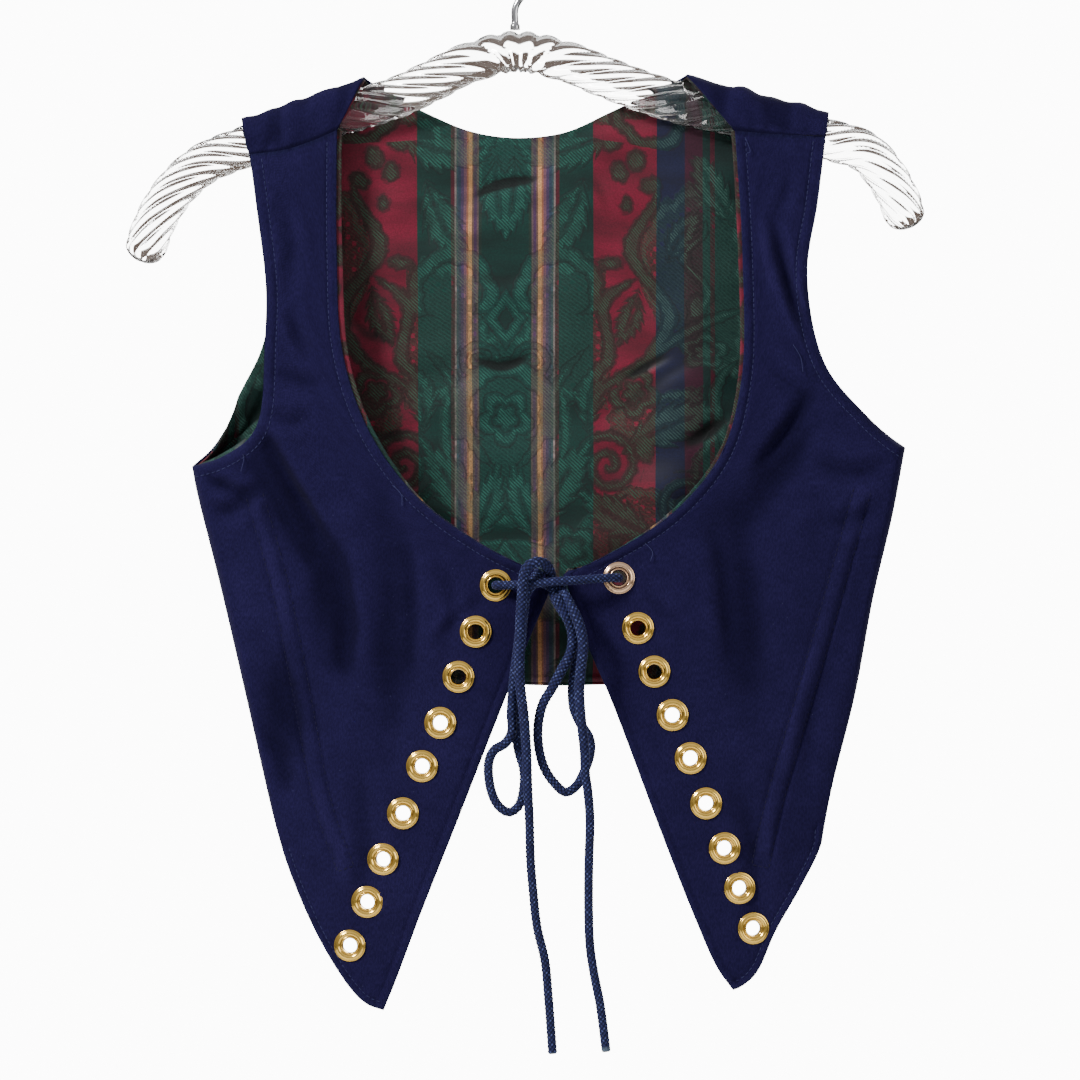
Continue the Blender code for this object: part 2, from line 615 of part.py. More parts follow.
def build_back(materials):
    grid = in_world(back_grid())
    outward = normals(grid, -1, BACK_ROWS_LOW, "both")
    layers = [("back_shell", 0.0, SHELL, "twill"), ("back_lining", SHELL + GAP, LINING, "brocade")]
    for name, start, thick, material in layers:
        mesh = wall_mesh(name, moved(grid, outward, -start), moved(grid, outward, -start - thick))
        add_object(name, mesh, materials[material])


def arm_line():
    """The hanger's centre line, parallel to the straps' ridges where it carries them."""
    line = {}
    for side, ridge in RIDGE.items():
        outer, inner = Vector(ridge[0]), Vector(ridge[1])
        slope = math.atan2(abs(outer.y - inner.y), abs(outer.x - inner.x))
        below = (ARM_HALF_HEIGHT + ARM_CLEARANCE + SHELL + GAP + LINING) / math.cos(slope)
        places = [outer.lerp(inner, share) + Vector((0.0, below + extra))
                  for share, extra in ((0.0, 0.0), (0.33, 0.0), (0.67, 0.2), (0.97, 1.2))]
        line[side] = [tuple(p) for p in HANGER_TIPS[side][::-1]] + [tuple(p) for p in places]
    return line["left"] + HANGER_MIDDLE + line["right"][::-1]


def build_hanger(material):
    """A bar of oval section along the arm line, with rounded tips."""
    path = smooth_path(arm_line(), 8)
    count = 32
    caps = [0.0, 0.012, 0.03]
    spots = caps + [0.03 + 0.94 * k / count for k in range(1, count)] + [1 - s for s in caps[::-1]]
    sizes = [0.45, 0.85] + [1.0] * (len(spots) - 4) + [0.85, 0.45]
    centres = [along(path, s) for s in spots]
    bm = bmesh.new()
    rings = []
    for k, (centre, size) in enumerate(zip(centres, sizes)):
        run = (centres[min(k + 1, len(centres) - 1)] - centres[max(k - 1, 0)]).normalized()
        up = Vector((run.y, -run.x))
        ring = []
        for n in range(12):
            turn = 2 * math.pi * n / 12
            spot = centre + up * (ARM_HALF_HEIGHT * size * math.cos(turn))
            ring.append(bm.verts.new(world(spot.x, ARM_HALF_DEPTH * size * math.sin(turn), spot.y)))
        rings.append(ring)
    for a, b in zip(rings, rings[1:]):
        for n in range(12):
            bm.faces.new((a[n], a[(n + 1) % 12], b[(n + 1) % 12], b[n]))
    bm.faces.new(rings[0])
    bm.faces.new(rings[-1])
    bmesh.ops.recalc_face_normals(bm, faces=bm.faces)
    mesh = bpy.data.meshes.new("hanger")
    bm.to_mesh(mesh)
    bm.free()
    mesh.shade_smooth()
    add_object("hanger", mesh, material)


def tube(name, points, radius, material):
    """A round cord or wire along points in metres."""
    curve = bpy.data.curves.new(name, "CURVE")
    curve.dimensions = "3D"
    curve.bevel_depth = radius * MM
    curve.bevel_resolution = 2
    curve.use_fill_caps = True
    spline = curve.splines.new("POLY")
    spline.points.add(len(points) - 1)
    for spot, place in zip(spline.points, points):
        spot.co = (*place, 1.0)
    ob = bpy.data.objects.new(name, curve)
    bpy.context.scene.collection.objects.link(ob)
    curve.materials.append(material)
    return ob


def build_hook(material):
    """A wire hook whose inner top is at the origin."""
    wire = 1.9
    bend = 16.0
    middle = Vector((0.0, -bend + wire))
    stem = [Vector((0.0, -HOOK_RISE - 0.1)), Vector((0.0, -44.0)), Vector((2.6, -38.6)),
            Vector((9.0, -32.4))]
    arc = [middle + bend * Vector((math.sin(t), math.cos(t)))
           for t in [math.radians(a) for a in range(130, -125, -15)]]
    path = smooth_path(stem + arc, 3)
    tube("hook", [Vector((x, 0.0, z)) * MM for x, z in path[::3] + [path[-1]]], wire, material)


def evenly(path, spacing):
    """Places evenly spaced on a polyline."""
    length = sum((b - a).length for a, b in zip(path, path[1:]))
    count = max(2, round(length / spacing))
    return [along(path, k / count) for k in range(count + 1)]


def knot_exit(strand, number=0):
    """A strand's end at the knot, and the place where it starts to bend."""
    out = Vector([share * half for share, half in zip(KNOT_EXITS[strand][number], KNOT_HALF)])
    return [Vector(KNOT_CENTRE) + out.normalized() * (out.length + step) for step in (KNOT_GAP, KNOT_LEAD)]


def strand_points(name):
    """A strand's whole route in metres, straight where it leaves the knot."""
    start = knot_exit(name)
    route = start[1:] + [Vector(p) for p in LACE_ROUTES[name]]
    finish = knot_exit(name, 1)[::-1] if len(KNOT_EXITS[name]) > 1 else []
    path = evenly(smooth_path(route + finish[:1]), LACE_SPACING)
    return [world(*p) for p in start[:1] + path + finish[1:]]


def through_grommet(place, towards, strand):
    """The lace's way from the knot, round the grommet's rim and behind the cloth."""
    centre, facing = place
    towards = (towards - facing * towards.dot(facing)).normalized()
    route = []
    for turn in (0, 22.5, 45, 67.5, 90):
        angle = math.radians(turn)
        out = LACE_BEND * math.cos(angle) + 0.4
        in_plane = LACE_BEND * (1 - math.sin(angle))
        route.append(centre + (facing * out + towards * in_plane) * MM)
    for turn in (0, 22.5, 45, 67.5, 90):
        angle = math.radians(turn)
        out = -3.0 - LACE_BEND * math.sin(angle)
        in_plane = LACE_BEND * (1 - math.cos(angle))
        route.append(centre + (facing * out + towards * in_plane) * MM)
    start, bend = [world(*p) for p in knot_exit(strand)]
    return [start, bend, bend.lerp(route[0], 0.5)] + route


def build_lace(places, material):
    """The lace through the top pair of grommets, its knot, two loops and two free ends."""
    left, right = places["left"][0], places["right"][0]
    way_left = through_grommet(left, Vector((1, 0, 0)), "across_left")
    way_right = through_grommet(right, Vector((-1, 0, 0)), "across_right")
    inside = [way_left[-1].lerp(way_right[-1], t) + Vector((0, 1.5 * math.sin(math.pi * t), -2 * t * (1 - t))) * MM
              for t in (0.2, 0.4, 0.6, 0.8)]
    tube("lace_across", way_left + inside + way_right[::-1], LACE / 2, material)
    for name in LACE_ROUTES:
        tube(name, strand_points(name), LACE / 2, material)
    bm = bmesh.new()
    bmesh.ops.create_icosphere(bm, subdivisions=2, radius=1.0)
    bmesh.ops.scale(bm, verts=bm.verts, vec=Vector(KNOT_HALF) * MM)
    mesh = bpy.data.meshes.new("lace_knot")
    bm.to_mesh(mesh)
    bm.free()
    mesh.shade_smooth()
    add_object("lace_knot", mesh, material).location = world(*KNOT_CENTRE)


clear_scene()
BACK_NECK = smooth_path(BACK_EDGES["neck"])
paint = {name: make_material(name) for name in COLOURS}
grommets = {side: build_front(side, paint) for side in ("left", "right")}
build_back(paint)
build_hanger(paint["clear_plastic"])
build_hook(paint["steel"])
build_lace(grommets, paint["lace"])
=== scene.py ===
# %% [markdown]
# This lesson dresses a small laced bodice on a clear hanger. The real garment has two fronts and a
# back of navy twill, each lined with striped brocade, brass grommets down the fronts, and one long
# braided lace tied at the neck.
# The imported frame is the plain engineering model. Everything made here stands over it, in the same
# place and in metres.

# %% The imported frame
import functools
import math
import random

import bpy
import numpy as np
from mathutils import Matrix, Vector
from mathutils.bvhtree import BVHTree


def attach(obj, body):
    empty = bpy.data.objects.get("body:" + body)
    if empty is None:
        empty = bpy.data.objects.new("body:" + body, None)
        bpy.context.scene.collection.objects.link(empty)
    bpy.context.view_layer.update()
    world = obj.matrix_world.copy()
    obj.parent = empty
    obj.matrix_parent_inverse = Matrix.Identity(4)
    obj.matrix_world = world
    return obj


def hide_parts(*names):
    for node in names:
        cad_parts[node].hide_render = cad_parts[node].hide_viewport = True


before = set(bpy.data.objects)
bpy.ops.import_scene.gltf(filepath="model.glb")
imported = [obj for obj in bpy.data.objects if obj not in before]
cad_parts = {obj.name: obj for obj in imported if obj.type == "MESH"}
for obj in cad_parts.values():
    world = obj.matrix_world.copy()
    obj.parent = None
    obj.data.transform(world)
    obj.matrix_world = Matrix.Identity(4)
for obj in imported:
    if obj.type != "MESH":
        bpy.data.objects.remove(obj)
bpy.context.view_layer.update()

# %% [markdown]
# The photograph was taken straight on, against a white ground. A long lens from three metres keeps
# the sides parallel as they are there. Places on the garment are given as millimetres across,
# millimetres forward of the hanger, and the drop below the hanger's top, as a maker would measure
# them, and one function turns them into the scene's metres.
# The light is a broad soft box at the upper left, a weaker one at the right, and one behind, so that
# the back isn't lost.

# %% Camera and lights
MM = 0.001
HOOK_RISE = 55.0  # hook's inner top above the hanger's top
PHOTO_SPAN = 583.2  # millimetres across the photograph at the garment
CAMERA_AWAY = 3000.0
CLOTH_PLANE = 10.0
VIEW_MIDDLE = (13.5, 276.5)  # across, drop
LIT_PLACE = Vector((0.0, 0.0, -0.33))
SOFT_BOXES = {  # place, size and power
    "key light": ((-1.7, -1.35, 1.2), 0.6, 95.0),
    "fill light": ((1.7, -1.5, 0.1), 1.3, 16.0),
    "rear light": ((0.8, 2.0, 0.8), 1.4, 80.0),
}


def to_world(places):
    """Places as rows of across, forward and drop in millimetres, in the scene's metres."""
    places = np.asarray(places, float)
    return np.stack([places[..., 0], -places[..., 1], -places[..., 2] - HOOK_RISE], -1) * MM


def from_world(places):
    """The other way, from the scene's metres to across, forward and drop in millimetres."""
    places = np.asarray(places, float) / MM
    return np.stack([places[..., 0], -places[..., 1], -places[..., 2] - HOOK_RISE], -1)


def add_object(name, data):
    ob = bpy.data.objects.new(name, data)
    bpy.context.scene.collection.objects.link(ob)
    return ob


lens = bpy.data.cameras.new("camera")
lens.sensor_width = 36.0
lens.lens = lens.sensor_width * CAMERA_AWAY / PHOTO_SPAN
camera = add_object("camera", lens)
camera.location = to_world((VIEW_MIDDLE[0], CLOTH_PLANE + CAMERA_AWAY, VIEW_MIDDLE[1]))
camera.rotation_euler = (math.radians(90), 0, 0)
bpy.context.scene.camera = camera
for name, (place, size, power) in SOFT_BOXES.items():
    lamp = bpy.data.lights.new(name, "AREA")
    lamp.shape, lamp.size, lamp.energy = "SQUARE", size, power
    box = add_object(name, lamp)
    box.location = place
    box.rotation_euler = (box.location - LIT_PLACE).to_track_quat("Z", "Y").to_euler()
print("lens", round(lens.lens, 1), "mm")

# %% [markdown]
# A material in Blender is a graph of nodes. Two small classes shorten the making of them. Nodes adds
# a node and feeds its sockets from numbers or from other nodes. Value is what comes out of a node,
# and arithmetic on it adds the maths nodes, so that a pattern reads like a formula. An effect that
# several materials share is made once as a node group, with named inputs and outputs.

# %% Node helpers
class Value:
    """A number that flows through a node tree. OPERATIONS gives it its arithmetic."""

    def __init__(self, nodes, socket):
        self.nodes, self.socket = nodes, socket

    def do(self, operation, *others):
        return self.nodes.math(operation, self, *others)

    def __rsub__(self, other):
        return self.nodes.math("SUBTRACT", other, self)

    def rise(self, low, high):
        """0 up to low, 1 from high, and smooth between."""
        return self.nodes.value(self.nodes.add("ShaderNodeMapRange", self, low, high, 0.0, 1.0,
                                               interpolation_type="SMOOTHSTEP"))

    def fall(self, low, high):
        return 1.0 - self.rise(low, high)


OPERATIONS = {"__add__": "ADD", "__sub__": "SUBTRACT", "__mul__": "MULTIPLY", "__truediv__": "DIVIDE",
              "__pow__": "POWER", "__abs__": "ABSOLUTE", "sine": "SINE", "most": "MAXIMUM", "least": "MINIMUM"}
for method, operation in OPERATIONS.items():
    setattr(Value, method, functools.partialmethod(Value.do, operation))


class Nodes:
    """Short calls that add nodes to a tree."""

    def __init__(self, tree):
        self.tree = tree

    def feed(self, socket, value):
        value = getattr(value, "socket", value)
        if isinstance(value, bpy.types.NodeSocket):
            self.tree.links.new(value, socket)
        elif socket.type == "RGBA" and len(value) == 3:
            socket.default_value = (*value, 1.0)
        else:
            socket.default_value = value

    def add(self, kind, *values, **settings):
        node = self.tree.nodes.new(kind)
        for name, value in settings.items():
            setattr(node, name, value)
        for socket, value in zip(node.inputs, values):
            self.feed(socket, value)
        return node

    def value(self, node, socket=0):
        return Value(self, node.outputs[socket])

    def math(self, operation, *values):
        return self.value(self.add("ShaderNodeMath", *values, operation=operation))

    def mix(self, share, first, second, way="MIX"):
        node = self.tree.nodes.new("ShaderNodeMix")
        node.data_type, node.blend_type = "RGBA", way
        for index, value in ((0, share), (6, first), (7, second)):
            self.feed(node.inputs[index], value)
        return node.outputs[2]

    def tint(self, shade, by):
        return self.mix(1.0, shade, by, "MULTIPLY")

    def ramp(self, value, rows, steps=False):
        """A colour for each stretch of a value, from rows of (start, red, green, blue)."""
        node = self.add("ShaderNodeValToRGB", value)
        bands = node.color_ramp
        bands.interpolation = "CONSTANT" if steps else "LINEAR"
        bands.elements.remove(bands.elements[1])
        bands.elements[0].position = rows[0][0]
        for start, *_ in rows[1:]:
            bands.elements.new(start)
        for band, (_, *shade) in zip(bands.elements, rows):
            band.color = (*shade, 1.0)
        return node.outputs[0]

    def noise(self, place, scale, detail=2.0, rough=0.5):
        node = self.add("ShaderNodeTexNoise")
        for name, value in (("Vector", place), ("Scale", scale), ("Detail", detail), ("Roughness", rough)):
            self.feed(node.inputs[name], value)
        return self.value(node, "Fac")

    def parts(self, place):
        return [Value(self, socket) for socket in self.add("ShaderNodeSeparateXYZ", place).outputs]

    def join(self, *values):
        return self.add("ShaderNodeCombineXYZ", *values).outputs[0]

    def number(self, name):
        """A number that a mesh holds for each of its vertices."""
        return self.value(self.add("ShaderNodeAttribute", attribute_name=name), "Fac")

    def surface_mm(self):
        """The piece's own UV map, which is in millimetres."""
        return self.add("ShaderNodeUVMap", uv_map="surface").outputs[0]

    def place_mm(self):
        """The piece's own coordinates in millimetres."""
        place = self.add("ShaderNodeTexCoord").outputs["Object"]
        return self.add("ShaderNodeVectorMath", place, (1 / MM,) * 3, operation="MULTIPLY").outputs[0]

    def group(self, tree, **values):
        node = self.add("ShaderNodeGroup", node_tree=tree)
        for name, value in values.items():
            self.feed(node.inputs[name], value)
        return {socket.name: Value(self, socket) for socket in node.outputs}


def new_group(name, build, outputs, **inputs):
    """A node group. An input or output is given its kind, or a number that it starts from.
    build makes the outputs' values from a node helper and the inputs' values."""
    tree = bpy.data.node_groups.new(name, "ShaderNodeTree")
    for way, rows in (("INPUT", inputs), ("OUTPUT", outputs)):
        for socket, kind in rows.items():
            named = isinstance(kind, str)
            made = tree.interface.new_socket(name=socket, in_out=way,
                                             socket_type=f"NodeSocket{kind if named else 'Float'}")
            if not named:
                made.default_value = kind
    nodes = Nodes(tree)
    given = [Value(nodes, socket) for socket in nodes.add("NodeGroupInput").outputs[:len(inputs)]]
    for socket, value in zip(nodes.add("NodeGroupOutput").inputs, build(nodes, *given)):
        nodes.feed(socket, value)
    return tree


def new_material(name, make, **sockets):
    """A material with one Principled shader. make gives the values of more of its sockets, and of a
    bump as (height, strength, distance)."""
    material = bpy.data.materials.new(name)
    material.use_nodes = True
    nodes = Nodes(material.node_tree)
    shader = nodes.tree.nodes["Principled BSDF"]
    made = make(nodes)
    bump = made.pop("bump", None)
    if bump:
        node = nodes.add("ShaderNodeBump")
        for socket, value in zip(("Height", "Strength", "Distance"), bump):
            nodes.feed(node.inputs[socket], value)
        made["Normal"] = node.outputs[0]
    for socket, value in {**sockets, **made}.items():
        nodes.feed(shader.inputs[socket.replace("_", " ")], value)
    return material


def colour(red, green, blue):
    """A colour given as 0 to 255 on a screen, in the linear light that nodes use."""
    return tuple((value / 255 / 12.92) if value < 10.3 else ((value / 255 + 0.055) / 1.055) ** 2.4
                 for value in (red, green, blue))


def scaled(shade, by):
    return tuple(value * by for value in shade)


print("half way up the screen's scale is", round(colour(128, 128, 128)[0], 3), "in linear light")

# %% [markdown]
# The sky is paler above than below, because clear plastic and brass show only what surrounds them.
# Rays that come straight from the camera see plain white. What the clear hanger bends towards the
# camera is white near the horizon and dark above and below it, which draws its flutes.

# %% World and floor
BACKDROP = (12.0, 12.0, 12.0)
SKY = [(0.0, 0.06, 0.06, 0.06), (0.42, 0.10, 0.10, 0.10), (0.6, 0.18, 0.18, 0.19), (1.0, 0.27, 0.27, 0.29)]
FLOOR_HALF, FLOOR_HEIGHT = 2.0, -1.2


def build_world():
    world = bpy.data.worlds.new("studio")
    bpy.context.scene.world = world
    world.use_nodes = True
    nodes = Nodes(world.node_tree)
    nodes.tree.nodes.clear()
    across, _, up = nodes.parts(nodes.add("ShaderNodeTexCoord").outputs["Generated"])
    sky = nodes.mix(abs(across).rise(0.55, 0.85) * 0.5, nodes.ramp(up * 0.5 + 0.5, SKY), (0.06, 0.055, 0.05))
    path = nodes.add("ShaderNodeLightPath").outputs
    sky = nodes.mix(path["Is Glossy Ray"], sky, nodes.tint(sky, (2.9, 2.9, 2.9)))
    behind = nodes.mix(abs(up).fall(0.088, 0.155), (0.16, 0.12, 0.10), BACKDROP)
    direct = nodes.math("LESS_THAN", path["Diffuse Depth"], 0.5)
    seen = nodes.mix(direct * path["Is Transmission Ray"], sky, behind)
    shine = nodes.add("ShaderNodeBackground", nodes.mix(path["Is Camera Ray"], seen, BACKDROP), 1.0)
    nodes.add("ShaderNodeOutputWorld", shine.outputs[0])


def floor_looks(nodes):
    mottle = nodes.noise(nodes.add("ShaderNodeTexCoord").outputs["Object"], 3.0)
    return {"Base Color": nodes.ramp(mottle, [(0.3, 0.80, 0.80, 0.79), (0.7, 0.84, 0.84, 0.83)])}


build_world()
plane = bpy.data.meshes.new("floor")
corners = [(x * FLOOR_HALF, y * FLOOR_HALF, FLOOR_HEIGHT) for x, y in ((-1, -1), (1, -1), (1, 1), (-1, 1))]
plane.from_pydata(corners, [], [(0, 1, 2, 3)])
plane.materials.append(new_material("floor", floor_looks, Roughness=0.8))
add_object("floor", plane)
print("floor and sky made")

# %% [markdown]
# The lace is a round braid of navy yarns with a few paler flecks. It comes out through the top pair
# of grommets, is tied in a bow, and hangs in two loops and two long ends. A round tube with a
# painted braid would look flat at its edges, so the strands of the braid are real relief: two
# families of yarns wind round the cord in opposite ways and take turns on top.
# The length of each of the four hanging parts is printed.

# %% Curves, tubes and meshes
def smooth_path(points, steps=12):
    """A fine polyline on a smooth curve through the points."""
    points = np.asarray(points, float)
    if len(points) == 2:
        return points
    ends = np.vstack([2 * points[0] - points[1], points, 2 * points[-1] - points[-2]])
    path = []
    for a, b, c, d in zip(ends, ends[1:], ends[2:], ends[3:]):
        t1, t2, t3 = np.cumsum([max(np.linalg.norm(gap), 1e-6) ** 0.5 for gap in (b - a, c - b, d - c)])
        for t in np.linspace(t1, t2, steps, endpoint=False):
            ab, bc = a + (b - a) * t / t1, b + (c - b) * (t - t1) / (t2 - t1)
            cd = c + (d - c) * (t - t2) / (t3 - t2)
            abc, bcd = ab + (bc - ab) * t / t2, bc + (cd - bc) * (t - t1) / (t3 - t1)
            path.append(abc + (bcd - abc) * (t - t1) / (t2 - t1))
    return np.array(path + [points[-1]])


def lengths(path):
    """How far along a polyline each of its points is."""
    return np.concatenate([[0.0], np.cumsum(np.linalg.norm(np.diff(path, axis=0), axis=1))])


def along(path, share):
    """Places on a polyline at shares of its length."""
    reach = lengths(path)
    return np.stack([np.interp(share, reach / reach[-1], line) for line in path.T], -1)


def unit(vectors):
    return vectors / np.maximum(np.linalg.norm(vectors, axis=-1, keepdims=True), 1e-12)


def sideways(path):
    """The direction square to a route of (across, drop) at each of its points."""
    run = unit(np.gradient(path, axis=0))
    return np.stack([-run[:, 1], run[:, 0]], -1)


def round_turns(count):
    return np.linspace(0, math.tau, count, endpoint=False)


def rounded(share, least=0.0):
    """0 at an end and 1 from a share of 1 on, like a quarter of a circle."""
    return np.sqrt(np.clip(1 - (1 - np.clip(share, 0, 1)) ** 2, least, 1))


def at_depth(spots, forward):
    """Places from spots as (across, drop) and how far forward each lies."""
    return np.stack([spots[..., 0], forward, spots[..., 1]], -1)


def tube_faces(rings, sides):
    """Quads round a tube and a fan at each end, whose centres are the last two vertices."""
    ring, side = np.meshgrid(np.arange(rings - 1), np.arange(sides), indexing="ij")
    here, after = ring * sides + side, ring * sides + (side + 1) % sides
    quads = np.stack([here, after, after + sides, here + sides], -1).reshape(-1, 4)
    last, caps = (rings - 1) * sides, rings * sides
    fans = [(caps, (k + 1) % sides, k) for k in range(sides)]
    fans += [(caps + 1, last + k, last + (k + 1) % sides) for k in range(sides)]
    return quads.tolist() + fans


def tube(line, radius, sides):
    """The vertices and faces round a line. Its radius can differ at each point and side."""
    runs = unit(np.gradient(line, axis=0))
    side = unit(np.cross(runs[0], (0.0, 0.6, 0.8)))
    across = []
    for run in runs:  # carried along without twist
        side = unit(side - run * (side @ run))
        across.append(side)
    turn = round_turns(sides)[:, None]
    ring = np.array(across)[:, None] * np.cos(turn) + np.cross(runs, across)[:, None] * np.sin(turn)
    places = (line[:, None] + ring * radius).reshape(-1, 3)
    return np.vstack([places, line[:1], line[-1:]]), tube_faces(len(line), sides)


def joined(parts):
    """One list of vertices and one of faces from several pairs of them."""
    faces, start = [], 0
    for places, quads in parts:
        faces += [[start + k for k in quad] for quad in quads]
        start += len(places)
    return np.vstack([places for places, _ in parts]), faces


def add_mesh(name, places, faces, material, uv=None, **values):
    """A mesh object, smooth, with one UV map and a number for each vertex where they are given."""
    mesh = bpy.data.meshes.new(name)
    mesh.from_pydata(np.asarray(places).tolist(), [], [list(map(int, face)) for face in faces])
    mesh.materials.append(material)
    mesh.shade_smooth()
    for label, numbers in values.items():
        layer = mesh.attributes.new(label, "FLOAT", "POINT")
        layer.data.foreach_set("value", np.asarray(numbers, np.float32).ravel())
    if uv is not None:
        corner = np.zeros(len(mesh.loops), np.int32)
        mesh.loops.foreach_get("vertex_index", corner)
        layer = mesh.uv_layers.new(name="surface")
        layer.data.foreach_set("uv", np.asarray(uv, np.float32)[corner].ravel())
    return add_object(name, mesh)


def put_in_place(piece, slot, *nodes):
    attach(piece, "root")
    if nodes:
        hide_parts(*nodes)
    return piece


print("a bend through three places gets", len(smooth_path([(0, 0), (10, 5), (20, 0)])), "points")


# %% The braid
LACE = 5.2  # the braid's diameter, in millimetres
YARNS = 6  # in each of the braid's two families
YARN_PITCH = 15.5  # millimetres along the cord for one turn of a yarn
BRAID_SIDES = 36
BRAID_STEP = 0.54
BRAID_RELIEF = 0.22  # of the radius
LOOSER = (320.0, 430.0), (1.1, 0.96)  # drops, and how wide the lace lies there
MELTED_LEVEL = 0.7  # relief where the yarns have run together


def braid(path, wide, sealed):
    """The vertices, faces, UVs, relief and melted share of a braided cord along a path in millimetres."""
    length = lengths(path)[-1]
    count = max(8, int(length / BRAID_STEP))
    spots = np.linspace(0, 1, count)
    line = along(path, spots)
    for _ in range(3):
        line[1:-1] = (line[:-2] + 2 * line[1:-1] + line[2:]) / 4
    spots = spots[:, None]
    turn = round_turns(BRAID_SIDES)[None] / math.tau
    first, second = (YARNS * (turn + way * spots * length / YARN_PITCH) for way in (1, -1))
    relief = 0
    for one, other, shift in ((first, second, 0.0), (second, first, math.pi)):
        crown = np.cos(math.pi * (one - np.round(one)))
        over = 0.5 + 0.5 * np.cos(math.pi * (other + np.round(one)) + shift)
        relief = np.maximum(relief, crown * (0.25 + 0.75 * over))
    melted = np.clip((spots - 1) * length / max(sealed, 0.1) + 1, 0, 1) ** 0.5
    relief = relief * (1 - melted) + MELTED_LEVEL * melted
    radius = (LACE / 2 * wide * np.interp(line[:, 2:], *LOOSER)
              * (1 - BRAID_RELIEF + BRAID_RELIEF * 1.3 * relief))
    for step, share in ((0, 0.8), (1, 0.95), (-2, 0.95), (-1, 0.8)):
        radius[step] *= share
    uv = np.stack(np.broadcast_arrays(turn * LACE * math.pi, spots * length), -1).reshape(-1, 2)
    return (*tube(line, radius[..., None], BRAID_SIDES), np.vstack([uv, (0.0, 0.0), (0.0, length)]),
            np.append(relief, (0.3, 0.7)), np.append(np.repeat(melted, BRAID_SIDES), (0.0, melted[-1, 0])))


def braided_piece(name, paths, wide=1.0, sealed=0.0):
    """One piece from several braided cords."""
    places, faces, uvs, reliefs, seals = zip(*(braid(path, wide, sealed) for path in paths))
    places, faces = joined(list(zip(places, faces)))
    return add_mesh(name, to_world(places), faces, LACE_MATERIAL, np.vstack(uvs),
                    relief=np.concatenate(reliefs), melted=np.concatenate(seals))


print("a metre of braid has", BRAID_SIDES * int(1 / MM / BRAID_STEP), "vertices")


# %% Lace material
def spun_yarn(nodes, place, shade, unevenness):
    """Soft uneven colour of spun yarn, and its fine hairs, for twill, lace and thread."""
    broad, fine = nodes.noise(place, 0.09, 3.0, 0.6), nodes.noise(place, 2.6, 3.0, 0.7)
    share = (fine * 0.6 + broad * 0.8 - 0.7) * unevenness + 0.5
    return nodes.mix(share, nodes.tint(shade, (0.35, 0.35, 0.4)), nodes.tint(shade, (1.7, 1.7, 1.6))), fine


def lace_looks(nodes):
    place, relief = nodes.surface_mm(), nodes.number("relief")
    spun = nodes.group(YARN, Vector=place, Colour=colour(38, 42, 86), Unevenness=1.1)
    u, v, _ = nodes.parts(place)
    turn, rise = u * (YARNS / (LACE * math.pi)), v * (YARNS / YARN_PITCH)
    cell = nodes.join((turn + rise).do("ROUND"), (turn - rise).do("ROUND"))
    chance = nodes.value(nodes.add("ShaderNodeTexWhiteNoise", cell, noise_dimensions="2D"), "Value")
    pale = chance.rise(0.5, 0.72) * relief.rise(0.6, 0.95)
    shade = nodes.mix(pale * 0.6, spun["Colour"], colour(92, 104, 156))
    # painted shade in the gaps between the yarns, and a painted highlight on their crowns
    shade = nodes.tint(shade, nodes.mix(relief.rise(0.45, 0.92), (0.24, 0.24, 0.3), (1.15, 1.15, 1.15)))
    glaze = nodes.mix(nodes.noise(place, 0.7), colour(58, 70, 92), colour(120, 138, 148))
    strands = ((u + v * 0.2) * 9.0).sine()
    return {"Base Color": nodes.mix(nodes.number("melted"), shade, glaze),
            "bump": (strands * 0.3 + spun["Height"], 0.5, 0.00008)}


YARN = new_group("Yarn", spun_yarn, dict(Colour="Color", Height="Float"),
                 Vector="Vector", Colour="Color", Unevenness=0.2)
LACE_MATERIAL = new_material("navy braid", lace_looks, Roughness=0.8, Sheen_Weight=0.06, Sheen_Roughness=0.4,
                             Specular_IOR_Level=0.2)
print("braid material has", len(LACE_MATERIAL.node_tree.nodes), "nodes")

